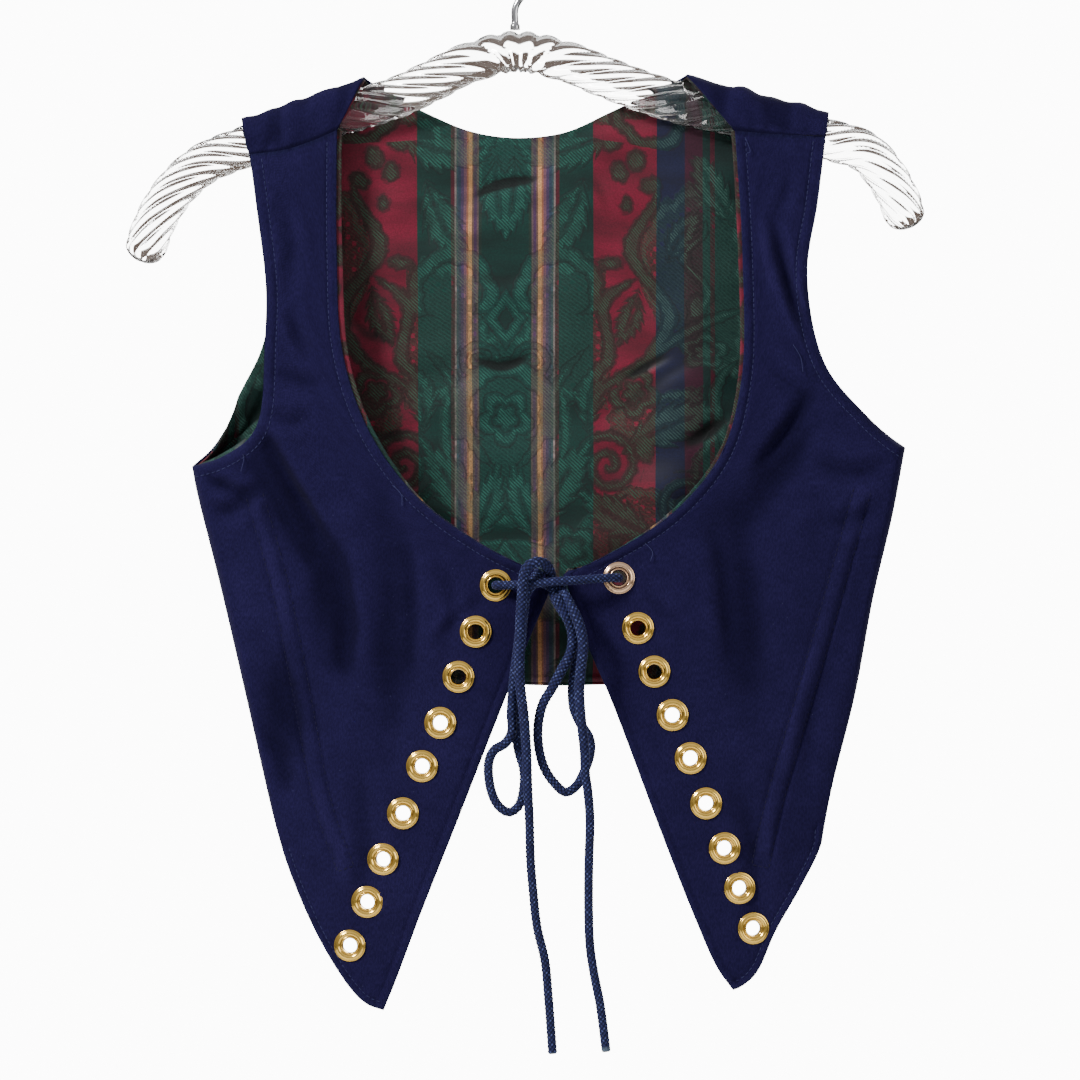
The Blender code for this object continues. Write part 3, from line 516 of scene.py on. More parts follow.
# %% Loops and free ends
# Routes in front of the cloth: across, forward, drop
LACE_ROUTES = {
    "lace_end_left": [
        (8.2, 36.8, 289.6), (5.4, 36.3, 293.4), (4.4, 35.8, 300), (3.8, 35.5, 308), (3.2, 35.3, 318),
        (2.7, 35.2, 334), (2.5, 35.2, 350), (4.9, 35, 370.4), (6.3, 34.5, 389.3), (6.9, 33.8, 407.7),
        (7.8, 33, 426.6), (8.5, 31.8, 449.3), (9.9, 30.6, 466), (11.9, 29.4, 483.8), (16.2, 28.2, 502.7),
        (18, 27.4, 521.6), (20.3, 26.4, 552.4)],
    "lace_end_right": [
        (29, 32, 310.5), (32.6, 34.6, 317), (35.4, 35.2, 325), (36.6, 35.2, 334), (35.4, 35.2, 345),
        (34.6, 35.2, 357.5), (36, 35, 376.9), (37.3, 34.5, 389.3), (37.8, 33.9, 401.8), (39.1, 33.5, 410.9),
        (40.3, 32.9, 426.6), (39.7, 31.7, 449.3), (39.6, 30.2, 476.3), (40.4, 29.2, 495.2),
        (42.7, 28.4, 510.3), (45.7, 27.6, 525.4), (49.1, 26.4, 551.3)],
    "lace_loop_left": [
        (4.4, 29.8, 315), (1.6, 29.6, 336), (-1, 29.5, 357), (-1.8, 29.3, 370), (-1.6, 29, 379.5),
        (-5.2, 28.4, 385.6), (-11.1, 27.6, 389.3), (-13.9, 27, 395.3), (-13.9, 26.4, 405),
        (-11.7, 25.8, 414.2), (-8.1, 25.2, 420.1), (-3, 24.8, 422.8), (1.9, 24.4, 419.6), (4.4, 24.2, 412),
        (4.9, 24.1, 400.7), (1.7, 24, 388.4), (0.6, 24, 376), (1.2, 24.1, 352), (3.2, 24.2, 330),
        (4.6, 24.4, 314), (5.6, 25.2, 306)],
    "lace_loop_right": [
        (27.2, 31.4, 316), (31, 29.3, 327), (30, 29.3, 337), (25.8, 29.3, 345), (20, 29.3, 355.9),
        (15, 29.1, 364.5), (12.4, 28.6, 376.9), (13.1, 28, 389.3), (16.2, 27.2, 399.6), (21.8, 26.4, 407.7),
        (27.3, 25.6, 412), (32.6, 25, 409.1), (36.9, 24.6, 401.8), (40.6, 24.3, 390.4), (40, 24.1, 382.9),
        (35.6, 24, 375.8), (31.9, 24, 367.6), (31, 24, 357), (33, 24.1, 341), (31.6, 24.2, 328),
        (28.6, 24.2, 316)],
}
SEALED = {"lace_end_left": 1.0, "lace_end_right": 3.0}  # millimetres melted at the free end
KNOT_CENTRE = np.array((20.0, 30.4, 298.4))
KNOT_HALF = np.array((10.0, 8.4, 9.5))
STRAND_START = 0.9  # of the way out from the knot's centre
# Where each strand leaves the knot, as shares of its half sizes; a loop leaves it twice
KNOT_EXITS = {
    "lace_end_left": [(-0.85, 0.60, -1.12)],
    "lace_end_right": [(0.62, -0.1, 0.66)],
    "lace_loop_left": [(-1.6, -0.15, 1.0), (-1.25, -0.5, 0.25)],
    "lace_loop_right": [(0.20, 0.30, 0.93), (0.48, -0.62, 0.62)],
}

for strand, route in LACE_ROUTES.items():
    start, *back = [KNOT_CENTRE + np.array(share) * KNOT_HALF * STRAND_START for share in KNOT_EXITS[strand]]
    path = smooth_path([start] + route + back, 8)
    piece = braided_piece(strand + "_braid", [path], sealed=SEALED.get(strand, 0.0))
    put_in_place(piece, "lace", strand)
    line, length = to_world(path), lengths(path)[-1] * MM
    print(strand, round(length, 3), "m")

# %% [markdown]
# Each cloth piece is a wall with a true thickness. Its outer face is first laid out flat between four
# edge curves, which are the maker's pattern seen from the front, and is then pushed forward or back
# by a table of depths. A simulation would lose the photograph's outline, so the folds are given as a
# list: each one is a smooth route with a width and a depth, and a soft uneven field lies under them.

# %% Outlines and depths
SHELL = 1.2  # millimetres of twill with its interlining
LINING = 1.0
GAP = 0.3  # between the two
SEAM_HALF_GAP = -0.3  # the shoulder's pieces run into each other
# painted shade: a dark line along the shoulder's seam, given as a depth that the twill paints as shade
SEAM_PAINTED_SHADE = 3.0  # how dark the shoulder's seam lies
STRAP_DEPTH = 8.9  # from the hanger's middle to the outer face of a strap
STRAP_WIDTH = 72.0
ROLL_HEIGHT = 14.0
SIDE_ROUND = 7.0  # how far the cloth takes to turn at a side seam
ARMHOLE_ROUND = 30.0
CLOTH_STEP = 2.3  # spacing of the cloth's points
PANEL_WIDTH = 190  # about, for the number of points across a front
SEAM_LENGTH, ARMHOLE_LENGTH = 215.0, 180.0  # about, from the hem to the underarm and to the shoulder
# Distances from an edge at which the cloth has its closest points
EDGE_STEPS = np.array([0.0, 1.1, 2.2, 3.3, 4.4, 5.1, 5.8, 7.0])
TURN_STEPS = np.array([0.0, 0.35, 0.8, 1.5, 2.5, 3.8, 5.3, 7.0])

# The outlines, as places across and the drop
FRONT_EDGES = {
    "left": {
        "hem": [(-126.1, 443.9), (-119.3, 462.8), (-105.3, 493), (-88.6, 518.9), (-79.9, 527), (-70.7, 530.3)],
        "side": [(-126.1, 443.9), (-130.8, 427.1), (-146.3, 359.1), (-160.4, 298.6), (-172.8, 248.9),
            (-175, 236.5)],
        "armhole": [(-175, 236.5), (-160.4, 232.2), (-144.4, 221.9), (-138.2, 210.1), (-135.5, 171.7),
            (-134.8, 140.4), (-140.4, 92.3), (-143.7, 68)],
        "centre": [(-70.7, 530.3), (-64.3, 514.6), (-50.8, 478.4), (-29.7, 425), (-4.9, 361.3), (10.3, 324),
            (22.1, 296.5)],
        "neck": [(22.1, 296.5), (2.2, 288.9), (-21.1, 276.5), (-54, 251.6), (-78.8, 217.1), (-92.9, 174.4),
            (-96.1, 119.9), (-96.1, 55.1)],
        "shoulder": [(-143.7, 68), (-125.3, 65.9), (-108.5, 60.5), (-96.1, 55.1)],
    },
    "right": {
        "hem": [(166.3, 433.1), (165.4, 442), (155, 463.1), (140.9, 487.6), (130.7, 509.8), (123.4, 516.8),
            (117.7, 519.5)],
        "side": [(166.3, 433.1), (172.6, 406.1), (184.1, 361), (194.4, 306.2), (204.7, 262.4), (211.4, 226.3)],
        "armhole": [(211.4, 226.3), (201.4, 219.2), (190.1, 209), (167.7, 181.4), (158.1, 133.9), (163.6, 94.5),
            (167.9, 58.3)],
        "centre": [(117.7, 519.5), (109.1, 507.6), (97.2, 481.1), (78.3, 433.1), (50.8, 360.5), (39.1, 333.5),
            (25.9, 295.1)],
        "neck": [(25.9, 295.1), (47, 285.7), (84.2, 262.4), (110.7, 230.6), (122, 190.1), (122.7, 122.6),
            (118.8, 55.6)],
        "shoulder": [(167.9, 58.3), (143.1, 57.5), (118.8, 55.6)],
    },
}
BACK_EDGES = {
    "hem": [(-126.1, 443.9), (-104.2, 401.8), (-72.9, 368.3), (-35.1, 356.4), (24.3, 355.9), (72.9, 356.4),
        (116.1, 369.4), (145.8, 400.7), (166.3, 433.1)],
    "armhole_left": [(-175, 236.5), (-163.6, 225.7), (-148.5, 198.7), (-135, 169), (-132.8, 141.5),
        (-138.2, 95.6), (-145.3, 63.1)],
    "armhole_right": [(211.4, 226.3), (192, 212), (169.5, 184), (157.1, 138.8), (161.5, 95.6), (168.2, 58.8)],
    "neck": [(-81.5, 25.9), (-62.1, 37.3), (-45.4, 45.9), (-24.3, 54.5), (0, 58.1), (27, 55.1), (51.3, 44.3),
        (71.8, 34.6), (92.9, 24.8)],
}
RIDGE = {
    "left": [(-148.5, 49.1), (-81.5, 25.9)],
    "right": [(170.1, 44.8), (92.9, 24.8)],
}
# Depth of the outer face from the hanger's plane: share of the way up an edge, depth
FRONT_OUTER_DEPTH = [(0, 0.15), (0.5, 0.15), (0.55, 6), (0.6, 9.5), (0.67, 11.5), (0.8, 11), (0.9, 10),
    (1, STRAP_DEPTH)]
FRONT_INNER_DEPTH = [(0, 14), (0.1, 17.5), (0.25, 20.5), (0.4, 21), (0.5, 20.5), (0.6, 19.5), (0.7, 17.5),
    (0.8, 14.5), (0.9, 11), (1, STRAP_DEPTH)]
BACK_OUTER_DEPTH = [(0, 0.15), (0.5, 0.15), (0.55, 4), (0.6, 7), (0.67, 9.5), (0.8, 10), (0.9, 9.5),
    (1, STRAP_DEPTH)]
BACK_MIDDLE_DEPTH = [(0, 12), (0.25, 13.5), (0.5, 13.5), (0.75, 11.5), (1, STRAP_DEPTH)]
for side, edges in FRONT_EDGES.items():
    print("centre", side, round(lengths(smooth_path(edges["centre"]))[-1]), "mm long")

# %% Folds, creases and channels
# Half width, depth pressed in from outside, which stands out where it is below zero, and then the
# route as places across and drop
BROAD_FOLDS = {
    "left": [(11, 2.6, -140.4, 224, -118, 262, -99.9, 290, -94.5, 340),
        (12, 1.4, -72.9, 250, -65, 300, -67.5, 392), (13, 1.6, -124, 340, -122, 400)],
    "right": [(11, 1.9, 158, 206, 140.4, 240, 128, 262), (13, 1.5, 116.1, 262, 123, 310, 126.9, 372)],
    "back": [(16, 1.8, -60, 330, -66, 220, -78, 120), (16, 1.8, 78, 335, 88, 230, 98, 120),
        (13, 1.4, 150, 260, 118, 330)],
}
CREASES = {
    "left": [(4.5, 1, -171, 241, -158, 247, -141, 253), (5.5, 0.9, -168, 262, -152, 259, -136, 246),
        (4, 0.7, -121, 152, -117, 166, -109, 178), (5, 0.8, -133, 184, -117, 190, -99, 193),
        (5, 0.7, -134, 207, -121, 212, -106, 209), (4.5, 1.2, -137, 214, -127, 236, -112, 262, -101, 284),
        (6, 0.9, -98, 282, -90, 318, -92, 352), (5, 0.45, -60, 268, -55, 300, -56, 360),
        (4.5, 0.5, -40, 288, -33, 312, -38, 344), (7, 0.7, -86, 398, -80, 440, -84, 484),
        (4, 0.45, -12, 306, -30, 318, -46, 336), (5, 0.5, -126, 92, -120, 118, -122, 142),
        (6, 0.6, -140, 372, -128, 392, -121, 420)],
    "right": [(3.4, 1.1, 140.4, 103.7, 146, 131, 153.9, 157.7, 162, 171.2),
        (4, -0.6, 133, 100, 136, 124, 143, 150), (4, 0.4, 150, 76, 146, 92, 140, 104),
        (6, 0.9, 204, 236, 180, 240, 160, 232), (6, 0.6, 200, 258, 182, 266, 160, 266),
        (4.5, 0.9, 160, 196, 146, 218, 128, 240), (4.5, 0.5, 134, 176, 146, 190, 160, 200),
        (5, 0.55, 104, 262, 112, 300, 116, 350), (4, 0.45, 70, 300, 82, 316, 96, 322),
        (7, 0.7, 118, 400, 128, 440, 130, 486), (7, 0.6, 174, 330, 160, 372, 156, 410)],
    "back": [(7, 1.1, -156, 214, -128, 236, -96, 240), (6, 0.9, -166, 246, -140, 262, -112, 262),
        (7, 1.1, 190, 218, 158, 236, 126, 240), (6, 0.8, 200, 246, 172, 262, 146, 266),
        (6, 0.8, -128, 92, -108, 112, -80, 118), (6, 0.8, 148, 88, 128, 110, 98, 116),
        (9, 0.8, -20, 80, -14, 150, -22, 250, -12, 340), (9, 0.7, 34, 96, 28, 190, 40, 300),
        (7, 0.7, -104, 300, -96, 330, -98, 366), (7, 0.7, 108, 296, 122, 340, 118, 366),
        (5, 0.5, -62, 62, -30, 74, 10, 72, 54, 62), (7, 0.5, -76, 168, -50, 176, -24, 170),
        (7, 0.5, 96, 190, 70, 200, 44, 196)],
}
# Middle lines of the stitched channels that hold the bones
BONES = {
    "left": [[(-140.7, 252.2), (-126.9, 300.8), (-116.1, 354.8), (-102.6, 422.3), (-91.3, 453.6)]],
    "right": [[(187.4, 249.5), (180.9, 273.8), (160, 348), (138.8, 422.3), (132.3, 452.5)]],
    "back": [[(-88, 108), (-84, 200), (-80, 352)], [(108, 106), (106, 200), (100, 352)]],
}
BONE_HALF_WIDTH = 4.4
STITCH_INSET = {
    "neck": 5.4,
    "armhole": 6.4,
    "hem": 4,
    "centre": 5,
    "shoulder": 3.6,
}
FOLD_STRENGTH, CREASE_STRENGTH = 2.1, 2.6
PUCKER_PITCH = 11.0  # millimetres between the puckers along a row of stitching


def read(table, share, soft):
    """A value read from rows of (share, value), with its corners rounded over soft."""
    shares, values = np.array(table).T
    return np.mean([np.interp(share + blur, shares, values) for blur in np.linspace(-soft, soft, 9)], axis=0)


def bell(gap, width):
    return np.exp(-((gap / width) ** 2))


def route_distance(path, spots):
    """Each spot's distance to a polyline, and the share of the way along it."""
    reach = lengths(path)
    best = np.full(spots.shape[:-1], 1e9)
    share = np.zeros_like(best)
    for a, d, before in zip(path, np.diff(path, axis=0), reach):
        t = np.clip(((spots - a) @ d) / (d @ d), 0, 1)
        gap = np.linalg.norm(spots - a - d * t[..., None], axis=-1)
        near = gap < best
        best = np.where(near, gap, best)
        share = np.where(near, (before + t * np.linalg.norm(d)) / reach[-1], share)
    return best, share


def edge_distance(edges, spots):
    return np.min([route_distance(smooth_path(edge, 6), spots)[0] for edge in edges], axis=0)


def faded_route(route, spots, power):
    """Each spot's distance to a short route, and a strength that fades towards the route's ends."""
    gap, share = route_distance(smooth_path(np.reshape(route, (-1, 2)), 5), spots)
    return gap, np.sin(math.pi * np.clip(share, 0.02, 0.98)) ** power


def uneven(spots, seed, size, height):
    """A soft random field over the cloth: the sum of a few waves with set directions."""
    dice = random.Random(seed)
    total, waves = 0.0, 12
    for _ in range(waves):
        turn, wave, phase = dice.uniform(0, 7), size * dice.uniform(0.7, 1.7), dice.uniform(0, 7)
        total = total + np.sin((spots[..., 0] * math.cos(turn) + spots[..., 1] * math.sin(turn))
                               * math.tau / wave + phase)
    return height * total / math.sqrt(waves)


def pressed(side, spots, stitched):
    """How far the cloth is pressed in, in millimetres: by folds and channels, and by stitching."""
    folds = uneven(spots, side + " broad", 75.0, 0.35) + uneven(spots, side + " fine", 24.0, 0.09)
    for half_width, depth, *route in BROAD_FOLDS[side]:
        gap, share = route_distance(np.reshape(route, (-1, 2)), spots)
        folds += FOLD_STRENGTH * depth * bell(gap, half_width) * (0.45 + 0.55 * np.sin(math.pi * share))
    for half_width, depth, *route in CREASES[side]:
        gap, fade = faded_route(route, spots, 0.8)
        wide = 0.8 * half_width
        folds += CREASE_STRENGTH * depth * (bell(gap, wide) - 0.4 * bell(gap - 1.9 * wide, wide)) * fade
    for route in BONES[side]:
        gap, share = route_distance(smooth_path(route, 5), spots)
        fade = np.clip(np.minimum(share, 1 - share) * 30, 0, 1)
        raised = np.clip(1 - (gap / BONE_HALF_WIDTH) ** 2, 0, 1) ** 0.7
        folds += (0.8 * bell(gap - BONE_HALF_WIDTH - 0.5, 1.1) - 0.9 * raised) * fade
    sewn = 0.0
    for name, edge in stitched.items():
        path = smooth_path(edge, 6)
        gap, share = route_distance(path, spots)
        inset, reach = STITCH_INSET[name], share * lengths(path)[-1]
        ripple = np.sin(reach * math.tau / PUCKER_PITCH + 1.6 * np.sin(reach / 13) + 1.1 * np.sin(reach / 37))
        sewn += (0.5 * bell(gap - inset, 0.9) - 0.42 * bell(gap - inset * 0.5, inset * 0.32)
                 + 0.26 * ripple * bell(gap - inset, 4.2))
    return folds, sewn


print("creases", {face: len(rows) for face, rows in CREASES.items()})

# %% The outer faces
class Panel:
    """A panel between four smooth edges, blended from them. u runs across it and v up it.
    Each side is two edges that meet half way up."""

    def __init__(self, bottom, top, start, end):
        self.bottom, self.top, self.start, self.end = bottom, top, start, end

    def edge(self, halves, v):
        low, high = along(halves[0], np.clip(v * 2, 0, 1)), along(halves[1], np.clip(v * 2 - 1, 0, 1))
        return np.where((v <= 0.5)[..., None], low, high)

    def width(self, v):
        return np.linalg.norm(self.edge(self.end, v) - self.edge(self.start, v), axis=-1)

    def spots(self, u, v):
        """Across and drop at each pair of u and v, both of them grids."""
        low, high = along(self.bottom, u), along(self.top, u)
        left, right = self.edge(self.start, v), self.edge(self.end, v)
        u, v = u[..., None], v[..., None]
        corners = ((self.bottom[0] * (1 - u) + self.bottom[-1] * u) * (1 - v)
                   + (self.top[0] * (1 - u) + self.top[-1] * u) * v)
        return low * (1 - v) + high * v + left * (1 - u) + right * u - corners


# Shares of the way up, close together near the hem, with a row at the underarm
UP = np.concatenate([EDGE_STEPS / SEAM_LENGTH * 0.5,
                     np.linspace(EDGE_STEPS[-1] / SEAM_LENGTH * 0.5, 0.5, int(SEAM_LENGTH / CLOTH_STEP))[1:],
                     np.linspace(0.5, 1.0, int(ARMHOLE_LENGTH / CLOTH_STEP))[1:]])
SEAM_ROWS = int(np.sum(UP <= 0.5))


def front_surface(side):
    """A front's outer face as a grid of across, forward and drop, and for each point its distance to
    the nearest edge and how deep it lies pressed in, from which the twill paints its shade."""
    edges = FRONT_EDGES[side]
    e = {name: smooth_path(points) for name, points in edges.items()}
    panel = Panel(e["hem"], e["shoulder"], (e["side"], e["armhole"]), (e["centre"], e["neck"]))
    rows, columns = [], int(PANEL_WIDTH / CLOTH_STEP)
    for wide in panel.width(UP):
        start, end = TURN_STEPS / wide, 1 - EDGE_STEPS[::-1] * min(1.0, wide / 60) / wide
        rows.append(np.concatenate([start, np.linspace(start[-1], end[0], columns)[1:-1], end]))
    u = np.array(rows)
    v = np.broadcast_to(UP[:, None], u.shape)
    spots = panel.spots(u, v)
    outer, inner = read(FRONT_OUTER_DEPTH, v, 0.015), read(FRONT_INNER_DEPTH, v, 0.05)
    turned = 0.42 * np.minimum(1.0, 2 - 2 * v) ** 2
    share = turned * rounded(u * panel.width(v) / SIDE_ROUND) * (1 - u) + u * (1 + turned * (1 - u))
    stitched = {name: edges[name] for name in ("neck", "armhole", "hem", "centre", "shoulder")}
    fade = np.minimum(1.0, u * 12) * np.clip((1 - v) * 60, 0, 1)
    folds, sewn = pressed(side, spots, stitched)
    forward = outer + (inner - outer) * share - (folds + sewn) * fade
    spots = spots + np.array((0.0, SEAM_HALF_GAP)) * (v == 1.0)[..., None]
    # painted shade: how far the folds press the cloth in, and a dark line painted along the shoulder's seam
    hollow = folds * fade + SEAM_PAINTED_SHADE * (v == 1.0)
    return at_depth(spots, forward), edge_distance(stitched.values(), spots), hollow


def strap_lump(places):
    """How far the cloth over a hanger's arm stands up in soft wrinkles."""
    return np.clip(uneven(places * (1.0, 0.6), "strap back", 17.0, 1.0) + 0.5, 0, 2.2)


def back_rows(panel, v, reach):
    """Shares across the back for each row, so that its points line up with those of the shoulders."""
    places_across = reach / reach[-1]
    half, last = len(places_across) // 2, len(TURN_STEPS) - 1
    rows = []
    for high, wide in zip(v, panel.width(v)):
        edge = TURN_STEPS / (wide + (reach[-1] - wide) * max(0.0, 10 * high - 9))
        kept = edge[-1] + (0.5 - edge[-1]) * (places_across - places_across[last]) / (0.5 - places_across[last])
        far = 0.5 + (0.5 - edge[-1]) * (places_across - 0.5) / (places_across[-1 - last] - 0.5)
        rows.append(np.concatenate([edge[:-1], kept[last:half], far[half:-1 - last], 1 - edge[::-1]]))
    return np.array(rows)


def back_surface():
    """The back's outer face, over the hanger and down to the shoulder seams; NaN beside the straps."""
    beside = 0.065  # share of the neck's edge beside each strap
    strap = np.concatenate([TURN_STEPS, np.linspace(SIDE_ROUND, STRAP_WIDTH, 26)[1:]]) / STRAP_WIDTH
    near = beside * np.array([0.12, 0.26, 0.42, 0.6, 0.8, 1.0])
    neck = np.concatenate([near, np.linspace(beside, 1 - beside, 66)[1:-1], 1 - near[::-1]])
    over = {}
    for side, (outer, inner) in RIDGE.items():
        over[side] = np.array(outer) + (np.array(inner) - outer) * strap[:, None]
    tops = np.vstack([over["left"], along(smooth_path(BACK_EDGES["neck"]), neck), over["right"][::-1]])
    lean = np.zeros_like(tops)
    lean[:, 1] = ROLL_HEIGHT
    lean[:len(strap), 0], lean[-len(strap):, 0] = 3.2 * (1 - strap), -1.9 * (1 - strap[::-1])
    on_strap = np.ones(len(strap))
    on_arm = np.concatenate([on_strap, np.clip(1 - np.minimum(neck, 1 - neck) / beside, 0, 1) ** 1.8, on_strap])
    shoulder = tops + lean
    left, right = ([smooth_path(FRONT_EDGES[side]["side"]), smooth_path(BACK_EDGES["armhole_" + side])]
                   for side in ("left", "right"))
    left[1][-1], right[1][-1] = shoulder[0], shoulder[-1]
    panel = Panel(smooth_path(BACK_EDGES["hem"]), shoulder, left, right)
    u = back_rows(panel, UP, lengths(shoulder))
    high = np.broadcast_to(UP[:, None], u.shape)
    spots = panel.spots(u, high)
    distance = np.minimum(u, 1 - u) * panel.width(high)
    soft = np.clip((high - 0.5) / 0.12, 0, 1)
    s = np.clip(distance / ARMHOLE_ROUND, 0, 1)
    turned = rounded(distance / SIDE_ROUND) * (1 - soft) + s * s * (3 - 2 * s) * soft
    outer, middle = read(BACK_OUTER_DEPTH, high, 0.015), read(BACK_MIDDLE_DEPTH, high, 0.05)
    relief = sum(pressed("back", spots, {"hem": BACK_EDGES["hem"], "armhole": BACK_EDGES["armhole_left"],
                                         "neck": BACK_EDGES["neck"]}))
    gap = edge_distance([BACK_EDGES["armhole_right"]], spots)
    relief += 0.38 * bell(gap - STITCH_INSET["armhole"], 0.9)
    relief *= np.minimum(1.0, distance / 16) * np.clip((1 - high) * 9, 0, 1)
    rows = [at_depth(spots, relief - outer - (middle - outer) * turned)]
    steps, straight, strap_wrinkle_shade = 12, 8, []
    for k in range(1, steps + 1):
        angle = 0.5 * math.pi * (1 - k / steps)
        place = tops + lean * (1 - math.cos(angle))
        lump = strap_lump(place + (0.0, 20.0)) * on_arm * k / steps
        flat = STRAP_DEPTH * (math.sin(angle) * on_arm + 1 - on_arm)
        lift = np.outer(lump * math.cos(angle), (0.0, 1.0))
        rows.append(at_depth(place - lift, -flat - lump * math.sin(angle))[None])
    seams = np.full_like(tops, np.nan)
    for side, part, shares in (("left", slice(0, len(strap)), strap),
                               ("right", slice(-len(strap), None), strap[::-1])):
        seams[part] = along(smooth_path(FRONT_EDGES[side]["shoulder"]), shares) - (0.0, SEAM_HALF_GAP)
    fall = seams[:, 1] - tops[:, 1]
    for k in range(1, steps + straight + 1):
        angle = 0.5 * math.pi * min(k / steps, 1.0)
        part = np.minimum(ROLL_HEIGHT, 0.85 * fall) / fall * (1 - math.cos(angle))
        part = part + (1 - part) * max(0.0, (k - steps) / straight)
        place = tops + (seams - tops) * part[:, None]
        left_over = 1 - k / (steps + straight)
        lump = strap_lump(place + (0.0, 20.0 - 2.0 * k)) * min(1.0, 2.5 * left_over)
        # painted shade in the valleys between the strap's wrinkles, fading out towards the seam
        strap_wrinkle_shade.append(np.clip(1.1 - lump, 0, 1.1) * 2.0 * min(1.0, 4 * left_over))
        gathers = 0.5 + 0.5 * np.sin(place[:, 0] / 1.9 + 2.2 * np.sin(place[:, 0] / 7.0))
        forward = STRAP_DEPTH * math.sin(angle) + 0.7 * bell(left_over - 0.16, 0.1) * gathers
        lift = np.outer(lump * math.cos(angle), (0.0, 1.0))
        rows.append(at_depth(place - lift, forward + lump * math.sin(angle))[None])
    places = np.concatenate(rows)
    near = edge_distance(BACK_EDGES.values(), places[..., ::2])
    # painted shade for the twill: the back's folds, the strap's wrinkles, and a dark line along the shoulder's
    # seam
    hollow = np.zeros_like(near)
    hollow[:len(UP)] = relief
    hollow[-len(strap_wrinkle_shade):] = np.nan_to_num(np.array(strap_wrinkle_shade))
    hollow[-2:] = SEAM_PAINTED_SHADE
    return places, near, hollow


FACES = {"left": front_surface("left"), "right": front_surface("right"), "back": back_surface()}
for face, (places, *_) in FACES.items():
    print(face, places.shape[0], "by", places.shape[1], "points")

# %% [markdown]
# A wall of cloth is made from a face by moving it in by its thickness. Where the wall ends, a raw
# square rim would look like cut card, so the rim is rounded: both faces stop half a thickness short
# and an arc joins them. Where a grommet sits, the cells under it are left out, and the ring of points
# round the gap is drawn in to a circle that the grommet's flange covers.

# %% Walls of cloth
RIM_ARC = np.radians((45, 90, 135))
HOLE = 5.6  # radius of the cloth's hole, in millimetres
HOLE_RING = HOLE + 2.2 * CLOTH_STEP  # how far out the ring of points round it can lie
LARGEST_RISE = 8.0  # between rows in the flat map; beyond it the rows are apart


def outward_normals(places, back):
    """Directions out of a face. Along the side seams they lie in the seam's plane."""
    def difference(axis):
        before, after = np.roll(places, 1, axis), np.roll(places, -1, axis)
        for moved, end in ((before, 0), (after, -1)):
            edge = [slice(None)] * 3
            edge[axis] = end
            moved[tuple(edge)] = places[tuple(edge)]
        return np.where(np.isnan(after), places, after) - np.where(np.isnan(before), places, before)

    normal = np.cross(difference(1), difference(0))
    forward = normal[places.shape[0] // 3, places.shape[1] // 2, 1]
    if (forward > 0) == back:
        normal = -normal
    for column in (0, -1) if back else (0,):
        normal[:SEAM_ROWS, column, 1] = 0.0
    return unit(normal)


def grid_quads(places, left_out=False):
    """Quads between the points of a grid, but for those that are NaN or left out."""
    wide = places.shape[1]
    here = ~np.isnan(places[..., 0]) & ~np.asarray(left_out)
    i, j = np.nonzero(here[:-1, :-1] & here[1:, :-1] & here[:-1, 1:] & here[1:, 1:])
    corner = i * wide + j
    return np.stack([corner, corner + 1, corner + wide + 1, corner + wide], 1)


def from_hole(places, hole):
    return np.hypot(places[..., 0] - hole[0], places[..., 2] - hole[1])


def cloth_wall(name, places, normal, start, thick, material, near, hollow, holes=()):
    """A closed wall from a face: it starts that far inside the face, and has rounded rims."""
    gone = np.any([from_hole(places, hole) < HOLE for hole in holes], axis=0) if holes else False
    used, quads = np.unique(grid_quads(places, gone), return_inverse=True)
    quads = quads.reshape(-1, 4)
    spot, out = places.reshape(-1, 3)[used], normal.reshape(-1, 3)[used]
    first = spot[quads[0]]
    if np.cross(first[1] - first[0], first[3] - first[0]) @ out[quads[0, 0]] < 0:
        quads = quads[:, ::-1]
    edges = np.concatenate([quads[:, [k, (k + 1) % 4]] for k in range(4)])
    count = len(used)
    rim = edges[~np.isin(edges[:, 0] * count + edges[:, 1], edges[:, 1] * count + edges[:, 0])]
    on_rim = np.unique(rim)
    for hole in holes:
        ring = on_rim[from_hole(spot[on_rim], hole) < HOLE_RING]
        spot[ring, ::2] = hole + HOLE * unit(spot[ring, ::2] - hole)
    side = unit(np.cross(spot[rim[:, 1]] - spot[rim[:, 0]], out[rim[:, 0]] + out[rim[:, 1]]))
    away = np.zeros_like(spot)
    for k in (0, 1):
        np.add.at(away, rim[:, k], side)
    away = unit(away)
    half = thick / 2
    begin = np.broadcast_to(start, near.shape).reshape(-1)[used][:, None]
    faces = [spot - out * begin - away * half, spot - out * (begin + thick) - away * half]
    centre = (faces[0] + faces[1])[on_rim] / 2
    arcs = [centre + half * (out[on_rim] * math.cos(a) + away[on_rim] * math.sin(a)) for a in RIM_ARC]
    order = np.zeros(count, int)
    order[on_rim] = np.arange(len(on_rim))
    levels = [rim] + [order[rim] + 2 * count + k * len(on_rim) for k in range(len(arcs))] + [rim + count]
    bands = [np.stack([low[:, 1], low[:, 0], high[:, 0], high[:, 1]], 1)
             for low, high in zip(levels, levels[1:])]
    every = used[np.concatenate([np.arange(count)] * 2 + [on_rim] * len(arcs))]
    quads = np.concatenate([quads, quads[:, ::-1] + count] + bands)
    return add_mesh(name, to_world(np.vstack(faces + arcs)), quads, material,
                    flat_map(places).reshape(-1, 2)[every], near=near.reshape(-1)[every],
                    hollow=hollow.reshape(-1)[every])


